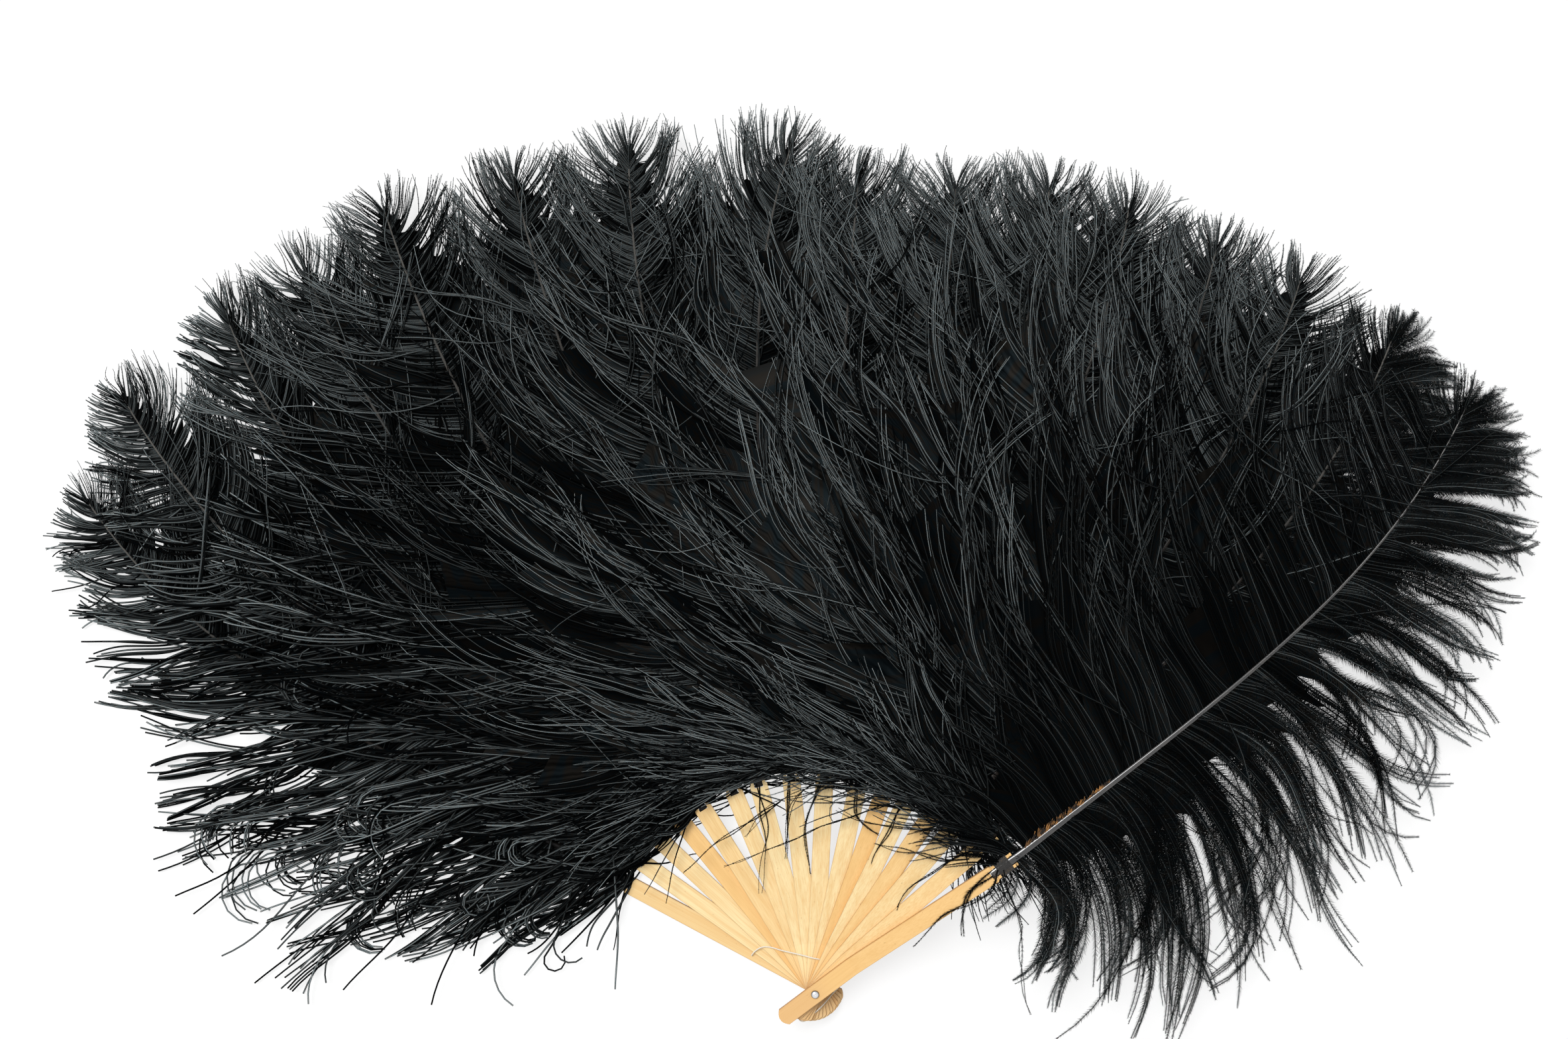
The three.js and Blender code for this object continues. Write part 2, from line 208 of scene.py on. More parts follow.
def srgb(red, green, blue):
    """A screen colour, 0 to 255, as the linear colour that shaders use."""
    shares = [channel / 255 for channel in (red, green, blue)]
    return tuple(s / 12.92 if s <= 0.04045 else ((s + 0.055) / 1.055) ** 2.4 for s in shares) + (1,)


def own_place(tree):
    """Where a spot on a piece is, in metres in the fan's frame."""
    return tree.nodes.new("ShaderNodeTexCoord").outputs["Object"]


def noise(tree, place, scale, detail):
    """Uneven values from 0 to 1."""
    inputs = {"Vector": place, "Scale": scale, "Detail": detail}
    return add_node(tree, "ShaderNodeTexNoise", inputs).outputs["Fac"]


def thread_curve(name, points, diameter):
    """A round thread along a smooth line through points in metres."""
    curve = bpy.data.curves.new(name, "CURVE")
    curve.dimensions = "3D"
    curve.bevel_depth = diameter / 2
    curve.bevel_resolution = 2
    curve.resolution_u = 6
    curve.use_fill_caps = True
    spline = curve.splines.new("BEZIER")
    spline.bezier_points.add(len(points) - 1)
    for knot, point in zip(spline.bezier_points, points):
        knot.co = point
        knot.handle_left_type = knot.handle_right_type = "AUTO"
    thread = bpy.data.objects.new(name, curve)
    scene_pieces.link(thread)
    return thread


cotton_finish = {"Roughness": 0.95, "Sheen Weight": 0.3, "Specular IOR Level": 0.2}
cotton, tree, shader = plain_finish("cotton", cotton_finish)
lint = noise(tree, own_place(tree), scale=2600.0, detail=3.0)
colour = mix_colours(tree, lint, srgb(*COTTON_SHADE), srgb(*COTTON_WHITE))
bump = add_node(tree, "ShaderNodeBump", {"Height": lint, "Strength": 0.5, "Distance": LINT_DEPTH})
feed(tree, shader, {"Base Color": colour, "Normal": bump.outputs["Normal"]})

thread_points = [tuple(value * MM for value in point) for point in THREAD_ROUTE]
loose_thread = thread_curve("loose_cotton_thread", thread_points, THREAD_DIAMETER)
loose_thread.data.materials.append(cotton)
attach(loose_thread, "stave_11")
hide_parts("loose_thread")


# Sticks: two stout guards and fourteen thin staves, split from bamboo, planed flat and sanded. The grain
# runs along each stick, the tails are browner from handling, and the sawn edges show darker fibres. A
# painted shade darkens a band along each long edge.
STICKS = ["rear_guard"] + [f"stave_{number:02d}" for number in range(1, 15)] + ["front_guard"]
LAST = len(STICKS) - 1
STICK_WARMTH = {3: 1.0, 4: 0.5, 5: 0.3, 10: 1.0, 12: 0.8, 13: 0.35, 14: 0.5}
PLAIN_WARMTH = 0.12
PALE_STAVE = srgb(254, 233, 181)
WARM_STAVE = srgb(248, 204, 137)
REAR_TONE = srgb(246, 215, 158)
FRONT_TONE = srgb(247, 204, 139)
TAIL_TONE = srgb(222, 176, 124)
FLECK_AND_EDGE_SHADE_TONE = srgb(166, 118, 70)
FIBRE_TONE = srgb(232, 183, 113)
GRAIN_TONES = [
    ("Streak", 0.4, FIBRE_TONE),
    ("Fibre", 0.5, FIBRE_TONE),
    ("Tail", 0.5, TAIL_TONE),
    ("Fleck", 0.7, FLECK_AND_EDGE_SHADE_TONE),
    # The last tone darkens the sawn sides, and paints shade in a band along each long edge.
    ("SawnSidesAndEdgeShade", 0.75, FLECK_AND_EDGE_SHADE_TONE),
]
GRAIN_NOISE = {
    "Fibre": {"along": 42, "across": 0.55, "detail": 3.0, "low": 0.42, "high": 0.72},
    "Streak": {"along": 120, "across": 2.6, "detail": 2.0, "low": 0.36, "high": 0.66},
    "Fleck": {"along": 3.2, "across": 0.55, "detail": 1.0, "low": 0.735, "high": 0.80},
}
GRAIN_SEED_STEP = 3.7
GRAIN_DEPTH = 0.06 * MM
FLAT_FACE = 0.9
SAWN_FACE = 0.5
HALF_WIDTH = 4.85 * MM
EDGE_SHADE_BAND = 0.5 * MM
TAIL_START = 12 * MM
TAIL_END = -5 * MM
FORK_DEPTH = 0.5 * MM
MERGE_DISTANCE = 0.01 * MM
EASED_EDGE = 0.12 * MM
EASED_ANGLE = 35


def stick_direction(node):
    """Angle of a stick as seen from the rivet, from the middle of its forked end."""
    places = np.array([vertex.co for vertex in frame["nodes"][node].data.vertices])
    reach = np.hypot(places[:, 0], places[:, 1])
    end = places[reach > reach.max() - FORK_DEPTH].mean(0)
    return math.atan2(end[1], end[0])


def shader_group(name, inputs, outputs):
    """A node group with named sockets of the given kinds, with what comes in and its end node."""
    group = bpy.data.node_groups.new(name, "ShaderNodeTree")
    for direction, sockets in (("INPUT", inputs), ("OUTPUT", outputs)):
        for socket, kind in sockets.items():
            group.interface.new_socket(socket, in_out=direction, socket_type=f"NodeSocket{kind}")
    return group, group.nodes.new("NodeGroupInput").outputs, group.nodes.new("NodeGroupOutput")


def bamboo_grain_group():
    """Grain of split bamboo, where Place has x along the stick, with painted shade along its long edges.
    """
    masks = dict.fromkeys(("Fibre", "Streak", "Fleck", "SawnSidesAndEdgeShade", "Tail"), "Float")
    group, given, end = shader_group("bamboo_grain", {"Place": "Vector", "Seed": "Float"}, masks)
    place, seed = given["Place"], given["Seed"]
    for name, grain in GRAIN_NOISE.items():
        fine = 1 / (grain["across"] * MM)
        scale = (1 / (grain["along"] * MM), fine, fine)
        drawn = add_node(group, "ShaderNodeMapping", {"Vector": place, "Scale": scale}).outputs["Vector"]
        inputs = {"Vector": drawn, "W": seed, "Scale": 1.0, "Detail": grain["detail"]}
        uneven = add_node(group, "ShaderNodeTexNoise", inputs, noise_dimensions="4D").outputs["Fac"]
        feed(group, end, {name: ramp(group, uneven, grain["low"], grain["high"])})
    normal = group.nodes.new("ShaderNodeNewGeometry").outputs["Normal"]
    facing = add_node(group, "ShaderNodeSeparateXYZ", {0: normal}).outputs["Z"]
    sawn = ramp(group, maths(group, "ABSOLUTE", facing), FLAT_FACE, SAWN_FACE)
    spot = add_node(group, "ShaderNodeSeparateXYZ", {0: place})
    off_middle = maths(group, "ABSOLUTE", spot.outputs["Y"])
    # Painted shade: a darker band along each long edge, where one stave lies over the next.
    edge_shade = ramp(group, off_middle, HALF_WIDTH - EDGE_SHADE_BAND, HALF_WIDTH + EDGE_SHADE_BAND)
    tail = ramp(group, spot.outputs["X"], TAIL_START, TAIL_END)
    feed(group, end, {"SawnSidesAndEdgeShade": maths(group, "MAXIMUM", sawn, edge_shade), "Tail": tail})
    return group


bamboo_grain = bamboo_grain_group()


def bamboo(name, direction, seed, tone):
    """Bamboo whose grain runs along a stick at that angle."""
    material, tree, shader = plain_finish(name, {"Specular IOR Level": 0.35})
    inputs = {"Vector": own_place(tree), "Angle": -direction}
    laid = add_node(tree, "ShaderNodeVectorRotate", inputs, rotation_type="Z_AXIS").outputs["Vector"]
    grain = add_node(tree, "ShaderNodeGroup", {"Place": laid, "Seed": seed}, node_tree=bamboo_grain)
    colour = tone
    for mask, amount, mark_tone in GRAIN_TONES:
        share = maths(tree, "MULTIPLY", grain.outputs[mask], amount)
        colour = mix_colours(tree, share, colour, mark_tone)
    fibre = grain.outputs["Fibre"]
    rough = ramp(tree, fibre, 0, 1, first=0.42, last=0.62)
    bump = add_node(tree, "ShaderNodeBump", {"Height": fibre, "Strength": 0.35, "Distance": GRAIN_DEPTH})
    feed(tree, shader, {"Base Color": colour, "Roughness": rough, "Normal": bump.outputs["Normal"]})
    return material


def blend(first, second, share):
    """A value between two others."""
    return first + (second - first) * share


stick_angles = [stick_direction(name) for name in STICKS]
for number, name in enumerate(STICKS):
    stick = frame["nodes"][name]
    warmth = STICK_WARMTH.get(number, PLAIN_WARMTH)
    tone = [blend(pale, warm, warmth) for pale, warm in zip(PALE_STAVE, WARM_STAVE)]
    tone = {0: REAR_TONE, LAST: FRONT_TONE}.get(number, tone)
    finish = bamboo(f"bamboo_{name}", stick_angles[number], GRAIN_SEED_STEP * number, tone)
    stick.data.materials.clear()
    stick.data.materials.append(finish)
    merged = stick.modifiers.new("merged_corners", "WELD")
    merged.merge_threshold = MERGE_DISTANCE
    eased = stick.modifiers.new("eased_edges", "BEVEL")
    eased.width = EASED_EDGE
    eased.segments = 2
    eased.limit_method = "ANGLE"
    eased.angle_limit = math.radians(EASED_ANGLE)


# Rivet: a bright plated steel pin through all the sticks. Its domed head sits on the front guard, and its
# other end is clinched over a washer let into the back of the rear guard.
SHANK_RADIUS = 1.2 * MM
SHANK_CHAMFER = 0.2 * MM
HEAD_RADIUS = 2.2 * MM
HEAD_HEIGHT = 1.5 * MM
HEAD_RIM = 0.2 * MM
HEAD_CHAMFER = 0.1 * MM
AXIS_RADIUS = 0.02 * MM
WASHER_BORE = 1.5 * MM
WASHER_ROUNDING = 0.1 * MM
TURNED_SIDES = 64
DOME_STEPS = 14
RIM_SHADE_HEIGHT = 0.7 * MM
RIM_SHADE_FADE_HEIGHT = 1.3 * MM
RIM_SHADE_PLATING = srgb(118, 119, 124)
BRIGHT_PLATING = srgb(226, 227, 230)


def mesh_piece(name, places, faces, smooth=False):
    """A mesh object from points in metres and an array of faces."""
    mesh = bpy.data.meshes.new(name)
    count, corner_count = faces.shape
    loop_starts = np.arange(0, count * corner_count, corner_count, dtype=np.int32)
    mesh.vertices.add(len(places))
    mesh.vertices.foreach_set("co", np.asarray(places, np.float32).ravel())
    mesh.loops.add(count * corner_count)
    mesh.loops.foreach_set("vertex_index", np.asarray(faces, np.int32).ravel())
    mesh.polygons.add(count)
    mesh.polygons.foreach_set("loop_start", loop_starts)
    mesh.polygons.foreach_set("use_smooth", np.full(count, smooth))
    mesh.update(calc_edges=True)
    mesh.validate()
    piece = bpy.data.objects.new(name, mesh)
    scene_pieces.link(piece)
    return piece


def turned_piece(name, profile):
    """A body turned about the rivet's axis from a closed profile of radius and height."""
    profile = np.array(profile)
    points = len(profile)
    turns = np.arange(TURNED_SIDES) * 2 * math.pi / TURNED_SIDES
    rings = np.empty((TURNED_SIDES, points, 3))
    rings[..., 0] = np.cos(turns)[:, None] * profile[:, 0]
    rings[..., 1] = np.sin(turns)[:, None] * profile[:, 0]
    rings[..., 2] = profile[:, 1]
    side, point = np.meshgrid(np.arange(TURNED_SIDES), np.arange(points), indexing="ij")
    following, beyond = (side + 1) % TURNED_SIDES, (point + 1) % points
    corners = [(side, point), (following, point), (following, beyond), (side, beyond)]
    faces = np.stack([ring * points + row for ring, row in corners], -1).reshape(-1, 4)
    return mesh_piece(name, rings.reshape(-1, 3), faces, smooth=True)


def plated_steel(seat):
    """Bright plating with fine wiped scratches, and painted shade low on the head round its rim."""
    material, tree, shader = plain_finish("bright_plating", {"Metallic": 1.0})
    place = own_place(tree)
    height = add_node(tree, "ShaderNodeSeparateXYZ", {0: place}).outputs["Z"]
    # Painted shade: the plating is drawn darker low on the head, where it meets the guard.
    clear_of_rim_shade = ramp(tree, height, seat + RIM_SHADE_HEIGHT, seat + RIM_SHADE_FADE_HEIGHT)
    colour = mix_colours(tree, clear_of_rim_shade, RIM_SHADE_PLATING, BRIGHT_PLATING)
    drawn = add_node(tree, "ShaderNodeMapping", {"Vector": place, "Scale": (900, 7000, 900)})
    scratches = noise(tree, drawn.outputs["Vector"], scale=1.0, detail=4.0)
    rough = ramp(tree, scratches, 0, 1, first=0.06, last=0.26)
    feed(tree, shader, {"Base Color": colour, "Roughness": rough})
    return material


pin_low, pin_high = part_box("rivet")
head_seat = pin_high.z - HEAD_HEIGHT
pin_profile = [
    (AXIS_RADIUS, pin_low.z),
    (SHANK_RADIUS - SHANK_CHAMFER, pin_low.z),
    (SHANK_RADIUS, pin_low.z + SHANK_CHAMFER),
    (SHANK_RADIUS, head_seat),
    (HEAD_RADIUS - HEAD_CHAMFER, head_seat),
    (HEAD_RADIUS, head_seat + HEAD_CHAMFER),
    (HEAD_RADIUS, head_seat + HEAD_RIM),
]
for turn in np.linspace(0, math.pi / 2, DOME_STEPS)[1:]:
    dome_radius = max(HEAD_RADIUS * math.cos(turn), AXIS_RADIUS)
    dome_height = (HEAD_HEIGHT - HEAD_RIM) * math.sin(turn)
    pin_profile.append((dome_radius, head_seat + HEAD_RIM + dome_height))
bright_plating = plated_steel(head_seat)
rivet = turned_piece("plated_rivet", pin_profile)
rivet.data.materials.append(bright_plating)
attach(rivet, "rear_guard")
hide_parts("rivet")

ring_low, ring_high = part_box("rivet_washer")
ring_radius = ring_high.x
washer_profile = [
    (WASHER_BORE, ring_low.z + WASHER_ROUNDING),
    (WASHER_BORE + WASHER_ROUNDING, ring_low.z),
    (ring_radius - WASHER_ROUNDING, ring_low.z),
    (ring_radius, ring_low.z + WASHER_ROUNDING),
    (ring_radius, ring_high.z - WASHER_ROUNDING),
    (ring_radius - WASHER_ROUNDING, ring_high.z),
    (WASHER_BORE + WASHER_ROUNDING, ring_high.z),
    (WASHER_BORE, ring_high.z - WASHER_ROUNDING),
]
washer = turned_piece("clinch_washer", washer_profile)
washer.data.materials.append(bright_plating)
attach(washer, "rear_guard")
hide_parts("rivet_washer")


# Quills: the horny shaft of each feather. It is pressed flat where it sits in the stick's fork, round and
# glossy above it, and tapers to a hair at the tip, leaning a little towards the middle of the fan. Its
# sizes, and those of the pieces below, are in millimetres along the line of its own stick.
FEATHERS = ["feather_rear"] + [f"feather_{number:02d}" for number in range(1, 15)] + ["feather_front"]
QUILL_START = 116.5
PRESSED_END = 128.5
FORK_END = 131.5
VANE_START = 137.5
QUILL_WIDTH = 4.2
QUILL_HEIGHT = 2.2
PRESSED_HEIGHT = 1.2
RACHIS_TIP_WIDTH = 1.0
SLIMMING_POWER = 0.7
QUILL_SIDES = 12
QUILL_RINGS = 48
RING_CROWDING = 1.2
TIP_TUFT = 40
SHORTEST_TIP = 460
SHORTEST_TIP_ANGLE = 80
TIP_RISE = 52
TIP_RISE_ANGLE = 28
TIP_TRIM = {0: -4, 1: 16, 2: 10, 3: 4, 4: 9, 6: 2, 8: -8, 9: 4, 10: 4, 12: -8, 13: -4, 14: -4, 15: -6}
TIP_TURN = {2: -1.5, 6: -2.0, 7: -5.5, 8: -1.5}
TIP_LEAN = 6.5
LEAN_POWER = 4
FIRST_LAYER = 1.2
GUARD_EXTRA = 0.75
THREAD_ROOM = 1.0
THREAD_LAYER = 10
PIVOT_PITCH = 1.2
BOUND_PITCH = 2.9
TIP_PITCH = 1.2
FLAT_RADIUS = 25
DROOP_SHARE = 0.75
DROOP_START = 6
DROOP_REACH = 140
REST_HEIGHT = 2.4
REST_PITCH = 0.8
HORN_BLACK = srgb(14, 13, 13)
HORN_BROWN = srgb(48, 43, 39)
DULL_TIP = srgb(98, 96, 92)
BRIGHT_TIP = srgb(74, 72, 70)
THIN_REACH = (320 * MM, 470 * MM)
THIN_SHARE = 0.8
VARNISH_REACH = (260 * MM, 420 * MM)


def share_of(value, start, end):
    """How far a value lies from start to end, from 0 to 1."""
    return np.clip((np.asarray(value, float) - start) / (end - start), 0, 1)


def layer_height(stick, reach):
    """Height of the middle of a stick's layer at a distance from the rivet."""
    lift = share_of(reach, FLAT_RADIUS, QUILL_START)
    settle = share_of(reach, VANE_START, SHORTEST_TIP + TIP_RISE)
    pitch = blend(blend(PIVOT_PITCH, BOUND_PITCH, lift), TIP_PITCH, settle)
    extra = GUARD_EXTRA * ((stick > 0) + (stick == LAST)) + THREAD_ROOM * (stick > THREAD_LAYER)
    return FIRST_LAYER + stick * pitch + extra


def tip_reach(stick):
    """Distance of a feather's tip from the rivet."""
    outward = abs(math.degrees(stick_angles[stick]) - SHORTEST_TIP_ANGLE)
    return SHORTEST_TIP + TIP_RISE * (1 - math.exp(-outward / TIP_RISE_ANGLE)) + TIP_TRIM.get(stick, 0)


def rachis_end(stick):
    """Distance of the shaft's own end from the rivet, inside the tuft at the tip."""
    return tip_reach(stick) - TIP_TUFT / 2


def rachis_side(stick, along):
    """Sideways place of the shaft at a distance along the stick's line."""
    middle = (stick_angles[0] + stick_angles[LAST]) / 2
    half_spread = (stick_angles[0] - stick_angles[LAST]) / 2
    lean = math.radians(TIP_LEAN) * (middle - stick_angles[stick]) / half_spread
    lean = lean + math.radians(TIP_TURN.get(stick, 0))
    tip = tip_reach(stick)
    return tip * math.tan(lean) * share_of(along, VANE_START, tip) ** LEAN_POWER


def feather_height(stick, along, side):
    """Height on a feather: it keeps to its layer, but right of the stick's line it sinks to the table."""
    reach = np.hypot(along, side)
    beside = reach * np.arctan2(-side, along)
    sunk = DROOP_SHARE * share_of(beside, DROOP_START, DROOP_REACH)
    return blend(layer_height(stick, reach), REST_HEIGHT + REST_PITCH * stick, sunk)


def turn_to_stick(stick, places):
    """Points along a stick's own line, turned to where it points, in metres."""
    cosine, sine = math.cos(stick_angles[stick]), math.sin(stick_angles[stick])
    turned = np.array(places, float) * MM
    turned[..., 0], turned[..., 1] = (
        turned[..., 0] * cosine - turned[..., 1] * sine,
        turned[..., 0] * sine + turned[..., 1] * cosine,
    )
    return turned


def quill_mesh(stick):
    """The shaft of one feather, lofted from oval sections."""
    end = rachis_end(stick)
    along = blend(QUILL_START, end, np.linspace(0, 1, QUILL_RINGS) ** RING_CROWDING)
    slim = share_of(along, VANE_START, end) ** SLIMMING_POWER
    width = blend(QUILL_WIDTH, RACHIS_TIP_WIDTH, slim)
    pressed = blend(PRESSED_HEIGHT, QUILL_HEIGHT, share_of(along, PRESSED_END, FORK_END))
    height = blend(pressed, RACHIS_TIP_WIDTH, slim)
    turns = np.arange(QUILL_SIDES) * 2 * math.pi / QUILL_SIDES
    rings = np.empty((QUILL_RINGS, QUILL_SIDES, 3))
    rings[..., 0] = along[:, None]
    rings[..., 1] = rachis_side(stick, along)[:, None] + width[:, None] / 2 * np.cos(turns)
    rings[..., 2] = feather_height(stick, rings[..., 0], rings[..., 1])
    rings[..., 2] += height[:, None] / 2 * np.sin(turns)
    ring, side = np.meshgrid(np.arange(QUILL_RINGS - 1), np.arange(QUILL_SIDES), indexing="ij")
    beside = (side + 1) % QUILL_SIDES
    corners = [(ring, side), (ring, beside), (ring + 1, beside), (ring + 1, side)]
    faces = np.stack([row * QUILL_SIDES + column for row, column in corners], -1).reshape(-1, 4)
    return turn_to_stick(stick, rings).reshape(-1, 3), faces


def dyed_horn_group():
    """Dyed horn: almost black with browner patches, greyer and less bright where it thins to the tip."""
    inputs = {"Place": "Vector", "Thin Tone": "Color", "Varnish": "Float"}
    group, given, end = shader_group("dyed_horn", inputs, {"Colour": "Color", "Coat": "Float"})
    place = given["Place"]
    patches = ramp(group, noise(group, place, scale=160.0, detail=4.0), low=0.45, high=0.7)
    colour = mix_colours(group, patches, HORN_BLACK, HORN_BROWN)
    reach = add_node(group, "ShaderNodeVectorMath", {0: place}, operation="LENGTH").outputs["Value"]
    thin = ramp(group, reach, *THIN_REACH, last=THIN_SHARE)
    coat = ramp(group, reach, *VARNISH_REACH, first=given["Varnish"], last=0.0)
    feed(group, end, {"Colour": mix_colours(group, thin, colour, given["Thin Tone"]), "Coat": coat})
    return group


dyed_horn = dyed_horn_group()


def quill_horn(name, rough, shine, varnish, thin_tone):
    """Horn with its own polish, varnish and tone at the thin end."""
    material, tree, shader = plain_finish(name, {"Roughness": rough, "Specular IOR Level": shine})
    inputs = {"Place": own_place(tree), "Thin Tone": thin_tone, "Varnish": varnish}
    horn = add_node(tree, "ShaderNodeGroup", inputs, node_tree=dyed_horn).outputs
    feed(tree, shader, {"Base Color": horn["Colour"], "Coat Weight": horn["Coat"]})
    return material


dull_horn = quill_horn("dull_quill_horn", rough=0.5, shine=0.1, varnish=0.1, thin_tone=DULL_TIP)
bright_horn = quill_horn("bright_quill_horn", rough=0.16, shine=0.6, varnish=1.0, thin_tone=BRIGHT_TIP)
for stick, node in enumerate(FEATHERS):
    quill = mesh_piece(node.replace("feather", "quill"), *quill_mesh(stick), smooth=True)
    quill.data.materials.append(bright_horn if stick == LAST else dull_horn)
    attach(quill, STICKS[stick])
    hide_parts(node)


# Bindings: each quill is whipped to its fork with a single layer of waxed black thread, wound tight and
# tucked under its own last turn.
BINDING_START = 120.5
BINDING_LENGTH = 8.0
BINDING_HALF_WIDTH = 4.5
BINDING_HALF_HEIGHT = 1.1
BINDING_THREAD = 0.32
TURN_SPACING = 1.08
STEPS_PER_TURN = 16
SQUARENESS = 0.5
WAXED_BLACK = srgb(17, 16, 16)
WORN_BLACK = srgb(46, 43, 40)


def squared_off(wave):
    """A round wave made fuller, as the thread goes round the flat sides of the fork."""
    return np.sign(wave) * np.abs(wave) ** SQUARENESS


def whipping_points(stick):
    """One unbroken winding round the fork and the quill, in metres."""
    turns = round(BINDING_LENGTH / (BINDING_THREAD * TURN_SPACING))
    step = np.arange(turns * STEPS_PER_TURN + 1)
    turn = 2 * math.pi * step / STEPS_PER_TURN
    places = np.empty((len(step), 3))
    places[:, 0] = BINDING_START + BINDING_LENGTH * step / step[-1]
    places[:, 1] = BINDING_HALF_WIDTH * squared_off(np.cos(turn))
    places[:, 2] = layer_height(stick, BINDING_START) + BINDING_HALF_HEIGHT * squared_off(np.sin(turn))
    return [tuple(point) for point in turn_to_stick(stick, places)]


waxed, tree, shader = plain_finish("waxed_thread", {"Roughness": 0.6, "Sheen Weight": 0.15})
wax = noise(tree, own_place(tree), scale=900.0, detail=2.0)
feed(tree, shader, {"Base Color": mix_colours(tree, wax, WAXED_BLACK, WORN_BLACK)})
for stick, node in enumerate(FEATHERS):
    name = node.replace("feather", "whipping")
    winding = thread_curve(name, whipping_points(stick), BINDING_THREAD * MM)
    winding.data.bevel_resolution = 1
    winding.data.resolution_u = 1
    winding.data.materials.append(waxed)
    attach(winding, STICKS[stick])
    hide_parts(node.replace("feather", "binding"))


# Vanes: hundreds of long soft barbs on each side of every shaft, dyed black. Each barb is a thin tapering
# stem with a comb of barbules on both sides. They leave the shaft steeply, sweep towards its tip and hang
# together in locks. Ostrich barbules have no hooks, so nothing holds the vane flat.

# Four ways for barbs to lie. Spacing and reach go from the rearmost feather to the foremost.
SWEPT = dict(
    barbs=255,
    points=14,
    crowd=1.0,
    foot_barbs=60,
    foot_turn=(-24, -2),
    wisps=0.3,
    foot_short=0.5,
    foot_length=0.72,
    spring=(98, 64),
    sweep=(34, 48, 52, 36),
    longest=128,
    upper=126,
    waver=14,
    scatter=9,
    lock=6,
    cling=(0.15, 0.75),
    wild=0.25,
    hooked=0.0,
    claw=0,
    down=0.76,
    stem=1.1,
    thinning=0.65,
    spacing=(1.0, 0.85),
    splay=24,
    reach=(1.2, 2.2),
    base=0.3,
    taper=0.45,
)
HOOKED = SWEPT | dict(
    barbs=420,
    points=22,
    crowd=1.5,
    foot_turn=(-24, -8),
    wisps=0.0,
    foot_short=0.6,
    foot_length=0.54,
    spring=(72, 60),
    sweep=(20, 28, 34, 26),
    longest=164,
    upper=94,
    scatter=11,
    cling=(0.3, 0.9),
    wild=0.0,
    hooked=0.4,
    down=0.22,
    stem=1.4,
    thinning=0.35,
    spacing=(1.6, 1.6),
    reach=(0.9, 0.9),
)
FOUNTAIN = SWEPT | dict(
    barbs=180,
    foot_barbs=30,
    foot_turn=(6, 40),
    wisps=0.0,
    foot_length=0.62,
    spring=(80, 62),
    sweep=(-30, -12, 4, 16),
    longest=132,
    waver=7,
    scatter=7,
    lock=5,
    wild=0.0,
    down=0.52,
    stem=0.8,
    spacing=(0.75, 0.75),
    splay=30,
    reach=(2.3, 2.3),
)
HANGING = FOUNTAIN | dict(
    barbs=260,
    foot_barbs=6,
    foot_turn=(-18, 2),
    foot_short=0.3,
    foot_length=0.58,
    spring=(78, 60),
    sweep=(-76, -60, -26, -4),
    longest=172,
    waver=6,
    scatter=9,
    claw=32,
    cling=(0.25, 0.85),
    down=0.26,
    stem=0.9,
    spacing=(0.62, 0.62),
    splay=46,
    reach=(6.2, 6.2),
    base=0.21,
    taper=0.8,
)
HOOKED_FEATHERS = 3
VANE_SEED_STEP = 100


def vane_habit(stick, hand):
    """How the barbs on one side of a feather lie."""
    if stick < HOOKED_FEATHERS and hand > 0:
        return HOOKED
    if stick >= LAST - 1 and hand < 0:
        return HANGING
    return FOUNTAIN if stick == LAST else SWEPT


# Roots and lengths, with parts of the vane as shares from its foot to its tip.
FOOT_START = 124.0
LOWER_FOOT = 8
LOWER_FOOT_STICKS = (6, 2)
ROOT_SCATTER = (0.1, 0.9)
TIP_BARBS = 130
TIP_BARBS_FROM = 0.76
LOCK_SCATTER = 0.8
UPPER_PART = (0.34, 0.7)
TOP_PART = (0.6, 0.9)
BARB_LENGTHS = (0.74, 1.04)
LOCK_LENGTHS = (0.86, 1.06)
LENGTH_PLACES = (0, 0.14, 0.25, 0.5, 0.7, 0.85, 0.94, 1)
LENGTHS_PAST_FOOT = (0.9, 1, 0.96, 0.8, 0.56, 0.38, 0.16)


def foot_start(stick):
    """Where the lowest barbs of a feather leave its quill."""
    return FOOT_START - LOWER_FOOT * share_of(stick, *LOWER_FOOT_STICKS)


def barb_roots(stick, habit, rng):
    """Where the barbs leave the shaft: distance from the rivet, share of the vane, and lock."""
    barbs, foot_barbs = habit["barbs"], habit["foot_barbs"]
    share = ((np.arange(barbs) + rng.uniform(*ROOT_SCATTER, barbs)) / barbs) ** habit["crowd"]
    share = np.concatenate([share, rng.uniform(TIP_BARBS_FROM, 1, TIP_BARBS)])
    share = np.sort(np.clip(share, 0, 1))
    foot = np.sort(rng.uniform(foot_start(stick), VANE_START, foot_barbs))
    along = np.concatenate([foot, blend(VANE_START, rachis_end(stick), share)])
    share = np.concatenate([np.zeros(foot_barbs), share])
    count = len(along)
    order = np.arange(count) + rng.uniform(-LOCK_SCATTER, LOCK_SCATTER, count)
    lock = np.floor(order / habit["lock"]).astype(int)
    return along, share, np.clip(lock, 0, count // habit["lock"])


def barb_lengths(stick, habit, along, share, lock, rng):
    """Barbs are longest below the middle of the vane and shortest at its foot and tip."""
    longest = blend(habit["longest"], habit["upper"], share_of(share, *UPPER_PART))
    length = longest * np.interp(share, LENGTH_PLACES, (habit["foot_length"], *LENGTHS_PAST_FOOT))
    length = length * rng.uniform(*BARB_LENGTHS, len(along))
    length = length * rng.uniform(*LOCK_LENGTHS, lock.max() + 1)[lock]
    foot = slice(habit["foot_barbs"])
    length[foot] *= blend(habit["foot_short"], 1.0, share_of(along[foot], foot_start(stick), VANE_START))
    return length


